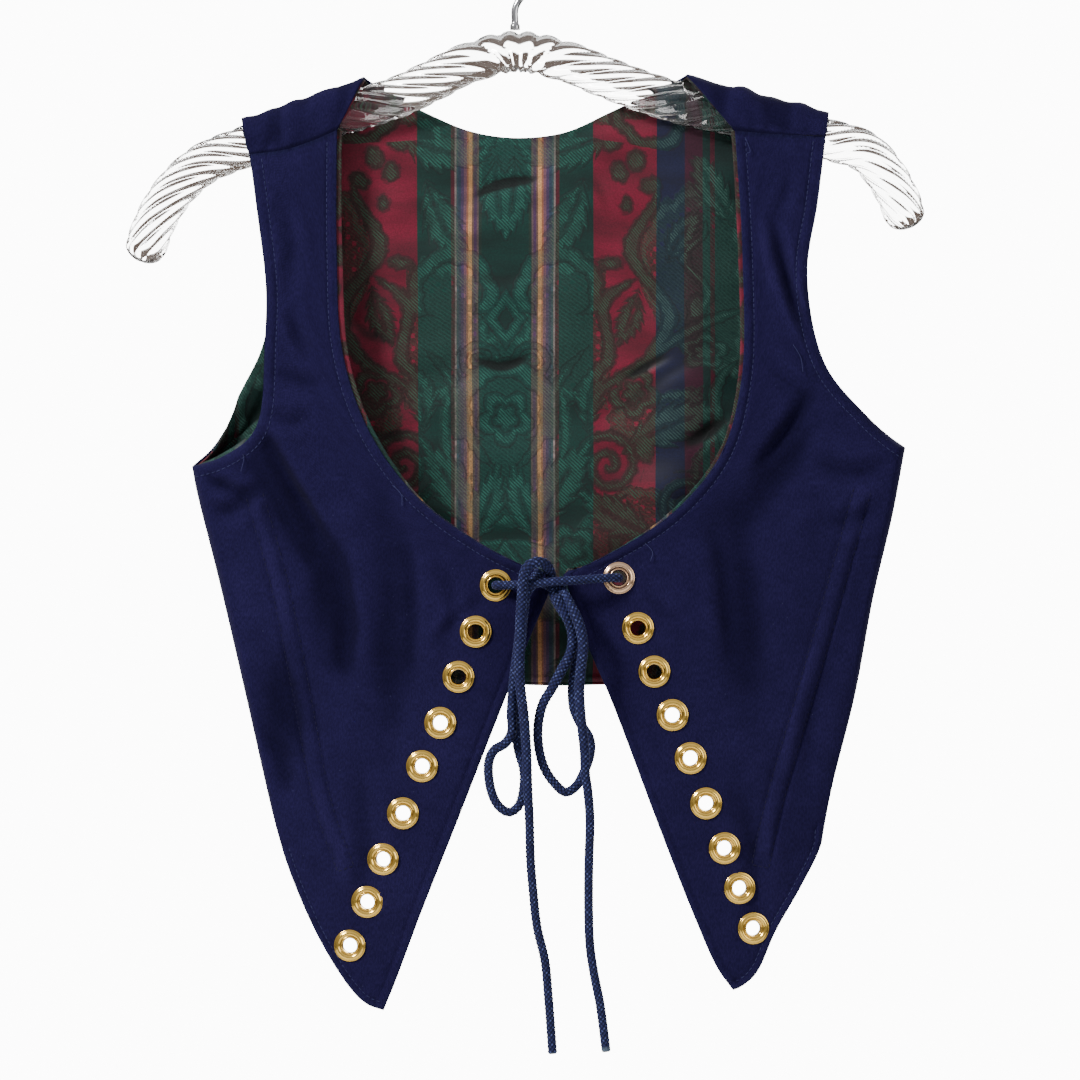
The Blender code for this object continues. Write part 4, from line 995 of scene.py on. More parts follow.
def flat_map(places):
    """The cloth's own flat coordinates in millimetres: across and up, let out where it turns away."""
    flat = np.stack([places[..., 0], -places[..., 2]], -1)
    extra = np.linalg.norm(np.diff(places, axis=1), axis=-1) - np.linalg.norm(np.diff(flat, axis=1), axis=-1)
    extra = np.nan_to_num(extra) * np.sign(np.nan_to_num(np.diff(flat[..., 0], axis=1), nan=1.0))
    total = np.concatenate([np.zeros((len(extra), 1)), np.cumsum(extra, axis=1)], axis=1)
    flat[..., 0] += total - total[:, total.shape[1] // 2, None]
    rise = np.linalg.norm(np.diff(places, axis=0), axis=-1)
    extra = np.nan_to_num(rise + np.diff(places[..., 2], axis=0))
    rise = np.nan_to_num(rise)
    extra[rise > LARGEST_RISE] = 0.0
    flat[1:, :, 1] += np.cumsum(np.where(extra < 0.15 * rise, 0.0, extra), axis=0)
    return flat


flat_back = flat_map(FACES["back"][0])
print("the back lies flat in", np.round(np.nanmax(flat_back, (0, 1)) - np.nanmin(flat_back, (0, 1))), "mm")

# %% [markdown]
# The outside is cotton twill: a close weave whose raised threads run in fine diagonal ribs. The ribs
# are only three quarters of a millimetre apart, so they live in the bump of a node group rather than
# in the mesh. The dye is a deep navy that is paler where the edges have rubbed, and the group's noise
# keeps any stretch of it from being one flat colour. Light and shade on the folds are painted in as
# well: painted shade where the cloth lies pressed in, and a painted highlight, where the nap would
# catch the light, on ridges and over the bones' channels.

# %% Twill
def twill_weave(nodes, place, pitch):
    """Diagonal ribs crossed by weft threads. Lines is 1 on a rib and 0 between."""
    u, v, _ = nodes.parts(place)
    slant = u * 0.82 + v * 0.57 + nodes.noise(place, 0.7, 1.0) * 0.5
    rib = (slant / pitch * math.tau).sine() * 0.5 + 0.5
    return rib, (v / pitch * (2 * math.tau)).sine() * 0.16 + rib


def edge_wear(nodes, place, distance, reach):
    """1 where an edge has rubbed, falling off over Reach, broken up by noise."""
    return [distance.fall(0.0, reach) * nodes.noise(place, 0.25, 3.0, 0.65).rise(0.3, 0.7)]


def twill_looks(nodes):
    place, hollow, dye = nodes.surface_mm(), nodes.number("hollow"), colour(25, 20, 55)
    u, v, _ = nodes.parts(place)
    weave = nodes.group(TWILL_WEAVE, Vector=place)
    spun = nodes.group(YARN, Vector=place, Colour=dye, Unevenness=0.85)
    worn = nodes.group(EDGE_WEAR, Vector=place, Distance=nodes.number("near"), Reach=3.2)["Mask"]
    cloudy = nodes.noise(place, 0.02, 2.0).rise(0.35, 0.7)
    shade = nodes.mix(cloudy * 0.35, spun["Colour"], scaled(dye, 0.72))
    ribs = nodes.mix(weave["Lines"] * 0.4, shade, scaled(dye, 1.5))
    # painted shade: darker where the cloth lies pressed in by folds, creases, the strap's wrinkles and the
    # shoulder's seam
    shade = nodes.mix(hollow.rise(0.3, 3.2) * 0.85, ribs, nodes.tint(ribs, (0.4, 0.4, 0.46)))
    # painted highlight: paler where the cloth stands out on ridges and over the bones' channels
    shade = nodes.mix(hollow.fall(-1.4, 0.1) * 0.5, shade, nodes.tint(ribs, (1.6, 1.6, 1.5)))
    shade = nodes.mix(worn * 0.3, shade, colour(40, 42, 80))
    streaks = nodes.noise(nodes.join(u * 3.0, v, 0.0), 0.45, 2.0, 0.7).rise(0.38, 0.62)
    shade = nodes.mix(streaks * 0.6, nodes.tint(shade, (0.8, 0.8, 0.82)), nodes.tint(shade, (1.5, 1.5, 1.42)))
    lint = nodes.noise(place, 0.8, 0.0).rise(0.85, 0.88)
    return {"Base Color": nodes.mix(lint * 0.4, shade, colour(66, 68, 100)),
            "bump": (spun["Height"] * 0.7 + weave["Height"], 0.4, 0.0001)}


TWILL_WEAVE = new_group("Twill weave", twill_weave, dict(Lines="Float", Height="Float"),
                        Vector="Vector", Pitch=0.75)
EDGE_WEAR = new_group("Edge wear", edge_wear, dict(Mask="Float"), Vector="Vector", Distance="Float", Reach=2.0)
TWILL = new_material("navy twill", twill_looks, Roughness=0.9, Sheen_Weight=0.05, Sheen_Roughness=0.45,
                     Specular_IOR_Level=0.05)
print("twill has", len(TWILL.node_tree.nodes), "nodes")

# %% [markdown]
# The lining is a striped brocade. Warp threads of green, crimson, navy and burgundy make the broad
# stripes, and a narrow many-coloured band lies each side of the middle. Over them a raised figure is
# woven: leaves, berries, scrolls, a scalloped arch and a long stem, each an olive shape with a ribbed
# green core. Such a figure is mirrored about the middle, as a loom repeats it, so the pattern is
# worked out on a distance from the middle that folds back on itself.
# Each shape is a small node group that gives how deep a point lies inside it, in millimetres. The
# largest of those depths joins them all, and one set of colour rules then weaves them. A shape works
# in its own x and y, which are 1 at its half length and half width.

# %% Shapes of the brocade's figure
def radius(x, y):
    return (x * x + y * y).do("SQRT")


def petals(x, y, turns):
    """Swings between 0 and 1 round the middle, twice for each turn."""
    return abs((y.do("ARCTAN2", x) * turns).sine())


def leaf(x, y, width):
    """Pointed at both ends, with toothed sides and a slit for the midrib."""
    side = abs(x * x * 0.25 + y)
    teeth = (x * 3.2 - side * 0.8).do("FRACT")
    edge = teeth * 0.34 - 0.2 - (side - (1.0 - abs(x) ** 1.7))
    rib = side * width + x.rise(0.2, 0.7) * 3.0
    return (edge * width).least(rib - 0.05)


def berry(x, y, width):
    return (1.0 - radius(x, y)) * width


def paisley(x, y, width):
    """A drop with a bent tail and a scalloped edge."""
    thin = (x * x * 0.42 + y) / (x * 0.3 + 1.0)
    return (petals(x, thin, 7.0) * 0.09 + 1.0 - radius(x, thin)) * width


def flower(x, y, width):
    """Five round petals with a ring cut round the heart."""
    out, reach = radius(x, y), petals(x, y, 2.5) * 0.32 + 0.68
    return ((reach - out) * width).least(abs(out - reach * 0.5) * width - 0.35)


def scroll(x, y, width):
    """A band that winds in twice."""
    out = radius(x, y)
    wind = (out * 1.9 - y.do("ARCTAN2", x) / math.tau).do("FRACT")
    return ((0.27 - abs(wind - 0.5)) * 0.55 * width).least((1.0 - out) * width)


def vine(x, y, width, swings, swing):
    """A band along x that swings across it, thinner towards its ends."""
    return (1.0 - abs(x) ** 4.0 - abs(y - (x * swings).sine() * swing)) * width


def arch(x, y, width):
    """A scalloped ring, open below its middle."""
    off = abs(radius(x, y) - (petals(x, y, 3.5) * 0.08 + 0.78))
    return (0.17 - off).least(y + 0.45) * width


def diamond(x, y, width):
    return (0.3 - abs(abs(x) + abs(y) - 0.68)) * width


def shape_group(name, depth_of, **more):
    """A shape laid over what is there: a place carries the depth found so far as its third number."""
    def build(nodes, place, middle, turn, size, *swing):
        x, y, found = nodes.parts(place)
        laid = nodes.add("ShaderNodeMapping", place, middle, turn, size, vector_type="TEXTURE").outputs[0]
        along_it, over_it, _ = nodes.parts(laid)
        depth = depth_of(along_it, over_it, nodes.parts(size)[1], *swing)
        return [nodes.join(x, y, found.most(depth))]

    places = dict.fromkeys(("Vector", "Middle", "Turn", "Size"), "Vector")
    return new_group(name, build, dict(Vector="Vector"), **places, **more)


SHAPES = {
    "leaf": shape_group("Leaf", leaf),
    "oval": shape_group("Berry", berry),
    "paisley": shape_group("Paisley", paisley),
    "flower": shape_group("Flower", flower),
    "scroll": shape_group("Scroll", scroll),
    "vine": shape_group("Vine", vine, Swings=6.0, Swing=1.0),
    "ring": shape_group("Scalloped arch", arch),
    "diamond": shape_group("Hollow diamond", diamond),
}
print(len(SHAPES), "shapes")

# %% The brocade's pattern
PATTERN_MIDDLE = -5.4  # millimetres across, where the pattern is mirrored
STRIPE_REPEAT = 130.0
FIGURE_TOP, FIGURE_REPEAT = 58.0, 246.0
CRIMSON_START, CRIMSON_END = 47.5, 93.5  # the crimson is wider on the left
# Shape, place as (from the middle, below the top), turn in degrees, half length and half width, and
# for a vine how often and how far it swings. The bodies are broad shapes under the rest.
BODIES = [("paisley", 103, 74, 97, 56, 27), ("paisley", 34, 108, 100, 40, 23), ("oval", 0, 158, 90, 54, 36),
    ("paisley", 62, 214, 28, 36, 19), ("paisley", 122, 186, 60, 40, 22), ("oval", 0, 20, 90, 24, 17),
    ("paisley", 84, 152, 200, 26, 13), ("oval", 0, 240, 90, 22, 40)]
FIGURE = [("leaf", 36, 6, 200, 25, 11), ("oval", 66, 33, 75, 4.6, 3.4), ("leaf", 34, 46, 244, 25, 10),
    ("leaf", 4, 34, 262, 23, 9), ("leaf", 17, 8, 150, 16, 7), ("leaf", 112, 16, 120, 24, 9),
    ("leaf", 96, 44, 60, 18, 7), ("oval", 57, 0, 20, 7, 5.4), ("oval", 71, 8, 60, 6.6, 5.2),
    ("oval", 62, 16, 100, 5.8, 4.8), ("oval", 79, 20, 30, 6.2, 4.6), ("oval", 57, 66, 10, 8, 3.6),
    ("oval", 104, 84, 80, 8, 5), ("vine", 79, 74, 96, 58, 4.6, 5.2, 1.9),
    ("vine", 55, 104, 70, 36, 4.2, 4, 1.5), ("vine", 84, 112, 29, 60, 3.4, 2.2, 1.8),
    ("vine", 24, 148, 58, 38, 2.6, 2.8, 1.5), ("vine", 118, 160, 80, 44, 3.8, 3.4, 2),
    ("vine", 104, 66, 92, 30, 3, 5, 2), ("ring", 29, 84, 0, 25, 25), ("diamond", 0, 98, 90, 17, 12),
    ("ring", 0, 150, 0, 30, 30), ("flower", 0, 152, 90, 16, 16), ("flower", 70, 138, 20, 15, 15),
    ("flower", 108, 112, 50, 14, 14), ("scroll", 56, 178, 40, 19, 19), ("scroll", 99, 198, 200, 17, 17),
    ("oval", 76, 168, 95, 9, 6), ("leaf", 90, 156, 25, 30, 11), ("leaf", 30, 188, 60, 28, 11),
    ("leaf", 118, 214, 100, 27, 11), ("leaf", 60, 206, 150, 25, 10), ("leaf", 10, 200, 110, 24, 9),
    ("ring", 78, 226, 180, 22, 22), ("flower", 36, 224, 10, 15, 15), ("diamond", 0, 232, 90, 15, 11),
    ("scroll", 15, 122, 90, 12, 12), ("leaf", 46, 140, 80, 20, 8), ("leaf", 68, 96, 250, 18, 7)]
# Distance from the middle at which each stripe starts, and its colour: in the ground, in the figure
# and in the figure's ribs
STRIPES = [(0, 3, 56, 48), (12.6, 33, 56, 46), (13.8, 109, 86, 89), (15.2, 91, 58, 93), (16.4, 118, 89, 81),
    (17.4, 238, 174, 112), (19.6, 178, 113, 85), (20.8, 133, 90, 105), (22.2, 87, 65, 101), (23.4, 54, 69, 89),
    (25, 63, 89, 93), (26.2, 153, 134, 130), (27.2, 96, 31, 44), (29, 3, 56, 48), (47.5, 130, 21, 50),
    (82, 21, 26, 60), (97, 66, 18, 42), (107, 6, 47, 42), (111, 85, 19, 39), (113.5, 6, 47, 42)]
FIGURE_STRIPES = [(0, 16, 62, 55), (13.8, 66, 72, 62), (17.4, 104, 98, 74), (20.8, 70, 68, 68),
    (25, 64, 78, 70), (27.2, 50, 48, 42), (29, 21, 58, 51), (47.5, 58, 38, 35), (82, 19, 43, 51),
    (97, 45, 36, 37), (107, 22, 63, 55), (111, 49, 42, 39), (113.5, 22, 63, 55)]
RIB_STRIPES = [(0, 40, 100, 86), (13.8, 92, 104, 86), (27.2, 60, 82, 66), (29, 38, 96, 82), (47.5, 56, 80, 62),
    (82, 52, 80, 77), (97, 60, 83, 69), (107, 56, 96, 85)]


def brocade(nodes, place, shift, brightness):
    u, v, _ = nodes.parts(place)
    wander = nodes.noise(place, 0.24, 1.0)
    frayed = nodes.noise(place, 1.3, 1.0) * 1.1 + (wander * 3.4 - 2.25)
    across = (u - PATTERN_MIDDLE + shift).do("PINGPONG", STRIPE_REPEAT)
    down = (v * -1.0 - FIGURE_TOP).do("WRAP", FIGURE_REPEAT, 0.0)
    bare = nodes.join(across, down * -1.0, -9.0)
    found = []
    for shapes in (BODIES, FIGURE):
        laid = bare
        for kind, x, y, turn, half_length, half_width, *swing in shapes:
            swings = dict(zip(("Swings", "Swing"), swing))
            laid = nodes.group(SHAPES[kind], Vector=laid, Middle=(x, -y, 0), Turn=(0, 0, math.radians(turn)),
                               Size=(half_length, half_width, 1), **swings)["Vector"]
        found.append(nodes.parts(laid)[2] + frayed)
    deep, depth = found
    body, shape = deep.rise(-0.15, 0.35), depth.rise(-0.15, 0.35)
    core = depth.rise(1.5, 2.1).most(abs(deep - 3.0).fall(1.0, 1.7) * (1.0 - shape))
    left = (u + shift).do("LESS_THAN", PATTERN_MIDDLE) * across.do("LESS_THAN", CRIMSON_END)
    share = ((across - CRIMSON_START).most(0.0) * left * -0.25 + across) / STRIPE_REPEAT
    ground, figure, pale = (
        nodes.ramp(share, [(start / STRIPE_REPEAT, *colour(*rgb)) for start, *rgb in rows], steps=True)
        for rows in (STRIPES, FIGURE_STRIPES, RIB_STRIPES))
    worn = nodes.noise(place, 0.16, 2.0).rise(0.35, 0.65) * 0.55 + 0.45
    ribs = ((u + v) * math.pi).sine().rise(-0.35, 0.55) * worn
    hatch = ((u * 0.75 + v) * (math.tau / 2.3)).sine().rise(0.0, 0.9) * worn
    cover = across.rise(13.4, 14.0) * across.fall(27.2, 28.0) * -0.45 + 1.0
    mottle = nodes.noise(place, 0.85, 3.0, 0.75).rise(0.42, 0.58)
    dots = ((across * 0.9).sine() * (down * 0.9).sine()).rise(0.2, 0.5)
    opened = (abs(wander - 0.5).fall(0.012, 0.04) * 0.3).most(abs(deep - 7.6).fall(1.2, 2.0) * dots)
    threads = (v * (math.tau / 0.7)).sine()
    # painted shade: soft dark bands across the satin ground, as its ripples would be shaded
    ripple_shade = nodes.noise(nodes.join(u * 0.35, v * 1.2, 0.0), 0.06, 2.0).rise(0.3, 0.7)
    slubs = nodes.noise(place, 1.5, 2.0, 0.8).rise(0.3, 0.7)
    dark = nodes.tint(ground, (0.25, 0.26, 0.28))
    # the satin ground with its painted ripple shade and random darker mottle
    satin = nodes.mix(mottle * 0.36, nodes.mix(ripple_shade * 0.7, ground, dark), dark)
    woven = nodes.mix(mottle * 0.62, figure, nodes.tint(figure, (0.45, 0.45, 0.45)))
    filled = nodes.mix(hatch * 0.32, nodes.mix(opened, woven, ground), pale)
    shade = nodes.mix(body * 0.85 * cover, satin, filled)
    for share, over in ((shape * cover, woven), (core * cover * ribs, pale),
                        (abs(depth + 0.3).fall(0.1, 0.8) * 0.55, colour(14, 14, 16)),
                        (threads * 0.14 + 0.13, colour(18, 14, 18)), (slubs * 0.34, colour(14, 12, 15))):
        shade = nodes.mix(share, shade, over)
    bright = nodes.add("ShaderNodeVectorMath", shade, operation="SCALE")
    nodes.feed(bright.inputs["Scale"], brightness)
    raised = shape.most(body)
    roughness = raised * 0.25 + (mottle * 0.1 + 0.5)
    return bright.outputs[0], roughness, threads * 0.12 + (core * ribs * 0.6 + raised)


def brocade_looks(nodes, shift):
    woven = nodes.group(BROCADE_PATTERN, Vector=nodes.surface_mm(), Shift=shift, Brightness=1.08)
    # painted shadow: the lining turns nearly black where the pinches sink it
    sunk = nodes.number("hollow").rise(0.35, 1.5) * 0.93
    return {"Base Color": nodes.mix(sunk, woven["Colour"], (0.002, 0.003, 0.003)),
            "Roughness": woven["Roughness"], "bump": (woven["Height"], 0.5, 0.00012)}


BROCADE_PATTERN = new_group("Brocade", brocade, dict(Colour="Color", Roughness="Float", Height="Float"),
                            Vector="Vector", Shift=0.0, Brightness=1.0)
BROCADE = {face: new_material(f"brocade {face}", lambda nodes: brocade_looks(nodes, shift), Sheen_Weight=0.03,
                              Specular_IOR_Level=0.3)
           for face, shift in (("back", 0.0), ("left", 26.0), ("right", -60.0))}
print("brocade figure has", len(BODIES) + len(FIGURE), "shapes in", len(BROCADE_PATTERN.nodes), "nodes")

# %% Fronts and back
# From the neck down: across, drop
GROMMETS = {
    "left": [(-10.3, 300.9), (-21.1, 325.8), (-30.4, 350.1), (-40.2, 374.9), (-50, 398.2), (-60.3, 423.6),
        (-71.1, 448.4), (-79.7, 471.5), (-89.1, 495.2)],
    "right": [(55.9, 296.9), (66.2, 323.9), (75, 347.3), (84.8, 370.7), (94.5, 393.9), (102.9, 418.3),
        (112.9, 442.5), (121.1, 464.1), (128.6, 485.9)],
}
# How far the lining shows past the twill: share of the way up, width
LINING_SHOWS = {
    "left": {
        "armhole": [(0, 0), (0.5, 0), (0.505, 4.4), (0.58, 3.8), (0.62, 0), (1, 0)],
        "neck": [(0, 0), (0.62, 0), (0.7, 2.4), (0.85, 3.4), (1, 2.6)],
    },
    "right": {
        "armhole": [(0, 0), (1, 0)],
        "neck": [(0, 0), (0.55, 0), (0.62, 1.5), (0.8, 2.2), (0.92, 2.6), (1, 2)],
    },
    "back": {
        "armhole": [(0, 0), (0.505, 0), (0.53, 1.8), (0.9, 1.6), (0.98, 0), (1, 0)],
    },
}
# Pinches in the back's lining, seen from the front, sunk in and painted dark as shadow: half width, depth and
# route
PINCHES = [(2.8, 2.6, -24, 91, -10, 84, 14, 80), (3, 2.1, -24, 177, -8, 182, 10, 176),
    (3.8, 2.2, 90, 226, 104, 218, 116, 209), (2.8, 1.8, 58, 190, 70, 183, 86, 175),
    (5.5, 1.1, -26, 130, -6, 135, 10, 129), (4.5, 0.9, 40, 214, 70, 196, 112, 166),
    (4, 1.2, -96, 150, -80, 164, -62, 170), (4, 1.1, -92, 214, -70, 220, -48, 214),
    (4.5, 0.9, 30, 72, 44, 84, 52, 104), (4.5, 0.9, -58, 84, -48, 100, -46, 120),
    (6, 0.9, -40, 300, -10, 292, 24, 300), (5, 1, 60, 312, 88, 300, 120, 304)]
SMOOTHINGS = 26  # rounds that take the back's folds out of its lining
LEAST_LIE, MOST_LIE = 0.1, 4.2  # how far the back's lining can lie off the twill


def declare_cloth(piece):
    """Reads the piece's own flat map, the flat size that the shown cloth was cut to, in metres; nothing more is
    done with it.
    """
    corners = np.zeros(len(piece.data.loops) * 2)
    piece.data.uv_layers[0].data.foreach_get("uv", corners)
    corners = corners.reshape(-1, 2) * MM


def show_lining(lining, face, name, column, step):
    """Moves a lining's edge out past the twill's, and the points near it less and less."""
    places, normal = FACES[face][0][:len(UP)], NORMALS[face][:len(UP)]
    shows = read(LINING_SHOWS[face][name], UP, 0.01)[:, None]
    way = unit(np.cross(np.gradient(places[:, column], axis=0), normal[:, column + 4 * step]))
    way *= np.sign(np.sum(way * (places[:, column] - places[:, column + 6 * step]), axis=-1, keepdims=True))
    for k in range(9):
        lining[:len(UP), column + k * step] += way * shows * (1 - k / 9) ** 2


def front_lining(side):
    """The face that a front's lining is moved in from, its directions out, how far in, and no painted shade."""
    places, near, _ = FACES[side]
    lining = places.copy()
    show_lining(lining, side, "armhole", 0, 1)
    show_lining(lining, side, "neck", -1, -1)
    lie = uneven(places[..., ::2], side + " lining", 40.0, 0.12) + 0.12
    return lining, NORMALS[side], SHELL + GAP + np.clip(lie, 0, 0.4), np.zeros_like(near)


def back_lining(side):
    places, near, _ = FACES[side]
    lining, flat = places.copy(), len(UP)
    level = places[:flat, :, 1].copy()
    for _ in range(SMOOTHINGS):  # the lining passes over the bones' channels without following them
        about = level[:-2, 1:-1] + level[2:, 1:-1] + level[1:-1, :-2] + level[1:-1, 2:]
        level[1:-1, 1:-1] += 0.5 * (about / 4 - level[1:-1, 1:-1])
    lining[:flat, :, 1] += (level - places[:flat, :, 1]) * np.clip((near[:flat] - 5) / 9, 0, 1)
    show_lining(lining, side, "armhole", 0, 1)
    spots = places[..., ::2]
    # how far the pinches sink the lining, which the brocade also paints as shadow
    sunk = np.zeros_like(near)
    for half_width, depth, *route in PINCHES:
        gap, fade = faded_route(route, spots, 0.7)
        sunk += depth * bell(gap, half_width) * fade
    lie = np.clip(uneven(spots * (0.5, 1.3), "back lining", 34.0, 0.75) + 1.6 - sunk, LEAST_LIE, MOST_LIE)
    return lining, outward_normals(lining, True), SHELL + GAP + lie * np.clip((near - 3) / 16, 0, 1), sunk


NORMALS = {face: outward_normals(FACES[face][0], face == "back") for face in FACES}
for face, name, make_lining, holes, twill_rests, lining_rests in (
        ("back", "back", back_lining, (), "hanger", "hanger"),
        ("left", "front_left", front_lining, GROMMETS["left"], "back_twill", "front_left_twill"),
        ("right", "front_right", front_lining, GROMMETS["right"], "back_twill", "front_right_twill")):
    places, near, hollow = FACES[face]
    shell = cloth_wall(name + "_twill", places, NORMALS[face], 0.0, SHELL, TWILL, near, hollow, holes)
    declare_cloth(put_in_place(shell, "twill", name + "_shell"))
    lining, out, begin, sunk = make_lining(face)
    inner = cloth_wall(name + "_brocade", lining, out, begin, LINING, BROCADE[face], near, sunk, holes)
    declare_cloth(put_in_place(inner, "brocade", name + "_lining"))

# %% [markdown]
# Nine grommets run down each front. The real ones are pressed from sheet brass in two halves that
# grip the cloth: a domed flange with a small bead at its rim outside, and a flat washer inside, with
# the barrel between them. Both halves are one turned profile here, with enough segments to look
# round close up. The brass is polished, so its look comes from its shape and from fine scuffs;
# tarnish gathers in the grooves, which a number stored along the profile marks.

# %% Grommets
# Radius, height over the cloth, and how much tarnish gathers there
GROMMET_PROFILE = [(8.62, 0.06, 0.9), (8.7, 0.3, 0.3), (8.64, 0.55, 0.1), (8.42, 0.76, 0), (8.15, 0.82, 0.1),
    (7.96, 0.8, 0.5), (7.75, 0.94, 0.3), (7.4, 1.24, 0), (6.95, 1.5, 0), (6.45, 1.58, 0), (6, 1.44, 0),
    (5.6, 1.12, 0.1), (5.35, 0.84, 0.5), (5.18, 0.74, 0.9), (5.04, 0.84, 0.5), (4.86, 1.04, 0.1),
    (4.62, 1.12, 0), (4.36, 1.04, 0), (4.14, 0.74, 0.1), (4, 0.3, 0.3), (3.92, -0.5, 0.6), (3.9, -1.6, 0.8),
    (3.9, -2.9, 0.7), (4, -3.3, 0.3), (4.3, -3.52, 0.1), (4.8, -3.5, 0.1), (5.4, -3.42, 0.3), (6.6, -3.5, 0.2),
    (7.1, -3.46, 0.2), (7.3, -3.25, 0.2), (7.25, -3, 0.6), (6.6, -2.9, 0.9), (4.95, -2.86, 0.9),
    (4.75, -2.6, 1), (4.75, 0, 1), (5.1, 0.12, 1), (7.6, 0.05, 1)]
GROMMET_SEGMENTS = 64
SEAT_RING = 7.5  # radius of the ring of places that a grommet's seat is found from
FAR_OUT = 80.0  # millimetres in front of the cloth, from where its surface is looked for


def scuffs(nodes, place, smooth):
    """Fine scratches and smears on polished metal."""
    long_way = nodes.add("ShaderNodeVectorMath", place, (2.0, 0.35, 0.35), operation="MULTIPLY").outputs[0]
    smears, fine = nodes.noise(long_way, 0.35, 3.0, 0.6), nodes.noise(long_way, 6.0, 2.0, 0.8)
    mask = smears.rise(0.45, 0.75) * fine.rise(0.4, 0.7)
    return mask * 0.22 + smooth, mask


def metal(name, bright, tarnish, smooth):
    def looks(nodes):
        place = nodes.place_mm()
        marks = nodes.group(SCUFFS, Vector=place, Smooth=smooth)
        patchy = nodes.noise(place, 0.3, 3.0, 0.6)
        toned = nodes.mix(patchy.rise(0.4, 0.75) * 0.2, bright, scaled(bright, 0.7))
        groove = nodes.number("tarnish") * (patchy * 0.6 + 0.45)
        return {"Base Color": nodes.mix(groove, toned, tarnish),
                "Roughness": groove * 0.25 + marks["Roughness"], "bump": (marks["Mask"], 0.06, 0.00003)}

    return new_material(name, looks, Metallic=1.0)


def add_grommet(name, material):
    turns = round_turns(GROMMET_SEGMENTS)[:, None]
    radius, height, tarnish = np.array(GROMMET_PROFILE).T
    places = np.stack(np.broadcast_arrays(radius * np.cos(turns), radius * np.sin(turns), height), -1)
    start, n = np.meshgrid(np.arange(GROMMET_SEGMENTS) * len(radius), np.arange(len(radius)), indexing="ij")
    after, next_n = np.roll(start, -1, axis=0), np.roll(n, -1, axis=1)
    faces = np.stack([start + n, after + n, after + next_n, start + next_n], -1).reshape(-1, 4)
    return add_mesh(name, places.reshape(-1, 3) * MM, faces, material,
                    tarnish=np.tile(tarnish, GROMMET_SEGMENTS))


def face_tree(face):
    """A search tree of an outer face, for setting things on it."""
    places = FACES[face][0]
    points = np.nan_to_num(to_world(places)).reshape(-1, 3)
    return BVHTree.FromPolygons(points.tolist(), grid_quads(places).tolist())


def on_face(face, across, drop):
    """The place and the outward direction on a face, looked for from outside."""
    way = -1.0 if face == "back" else 1.0
    start = Vector(to_world((across, way * FAR_OUT, drop)))
    place, normal, *_ = TREES[face].ray_cast(start, Vector((0, way, 0)))
    if place is None:
        return None
    return np.array(place), np.array(normal if normal.y * way < 0 else -normal)


def seat(face, across, drop):
    """Where a grommet sits: the middle and the direction of a ring of places round it."""
    ring = [on_face(face, across + SEAT_RING * math.cos(a), drop + SEAT_RING * math.sin(a))
            for a in np.linspace(0, 6.02, 24)]
    return np.mean([spot for spot, _ in ring], axis=0), unit(np.mean([way for _, way in ring], axis=0))


TREES = {face: face_tree(face) for face in FACES}
SCUFFS = new_group("Scuffs", scuffs, dict(Roughness="Float", Mask="Float"), Vector="Vector", Smooth=0.15)
BRASS = metal("polished brass", (0.91, 0.58, 0.12), (0.18, 0.09, 0.02), 0.12)
DULL_BRASS = metal("worn brass", (0.82, 0.54, 0.34), (0.16, 0.09, 0.05), 0.15)
SEATS = {side: [seat(side, *spot) for spot in GROMMETS[side]] for side in GROMMETS}
for side, seats in SEATS.items():
    for index, (middle, way) in enumerate(seats, 1):
        worn = side == "right" and index == 1
        grommet = add_grommet(f"grommet_{side}_{index}_pressed", DULL_BRASS if worn else BRASS)
        grommet.location = middle
        grommet.rotation_euler = Vector(way).to_track_quat("Z", "Y").to_euler()
        put_in_place(grommet, "brass", f"grommet_{side}_{index}")
print("grommets", [len(seats) for seats in SEATS.values()])

# %% [markdown]
# The hanger is moulded from clear acrylic. Its arms are flattened rods with sharp flutes that twist
# round them, one way on the left and the other on the right, and a fan of ribs under the hook. The
# flutes are real: clear plastic has no surface colour, and what the eye sees is how its facets bend
# the light behind them. Near each strap's inner end a small rounded notch is let into the top.
# The hook is plain bent steel wire, and only its stem is near the photograph's upper edge.

# %% Hanger
ARM_HALF_HEIGHT, ARM_HALF_DEPTH, ARM_CLEARANCE, ARM_TIP = 11.5, 6.0, 0.4, 9.0
HANGER_MIDDLE = [(-62.1, 35.8), (-45.9, 28.2), (-24.3, 17.8), (0, 11.9), (24.3, 16.2), (48.6, 25.6),
    (67.5, 32.8)]
HANGER_TIPS = {
    "left": [(-169, 73), (-184, 86.5), (-194.5, 103), (-202.6, 126)],
    "right": [(189.5, 66.2), (201, 79), (208.5, 93), (213, 108)],
}
RAISED = ((0.0, 0.0), (0.33, 0.0), (0.67, 0.2), (0.97, 1.2))  # share of a strap's width, lower by
FLUTES = 10
FLUTE_DEPTH = 0.2  # of the arm's half size
FLUTE_TURN = 125.0  # millimetres along the arm for a flute to go round
FAN_MIDDLE, FAN_REACH = 2.0, 26.0
HANGER_SIDES, HANGER_STEP = 140, 1.7
NOTCHES = ((-88.0, 5.0), (93.0, 5.0))  # across, half width
NOTCH_DEPTH = 0.36


def arm_line():
    line = {}
    for side, (outer, inner) in RIDGE.items():
        outer, run = np.array(outer), np.array(inner) - outer
        slope = math.atan2(abs(run[1]), abs(run[0]))
        below = (ARM_HALF_HEIGHT + ARM_CLEARANCE + SHELL + GAP + LINING) / math.cos(slope)
        under_strap = [outer + run * share + (0.0, below + lower) for share, lower in RAISED]
        line[side] = HANGER_TIPS[side][::-1] + under_strap
    return line["left"] + HANGER_MIDDLE + line["right"][::-1]


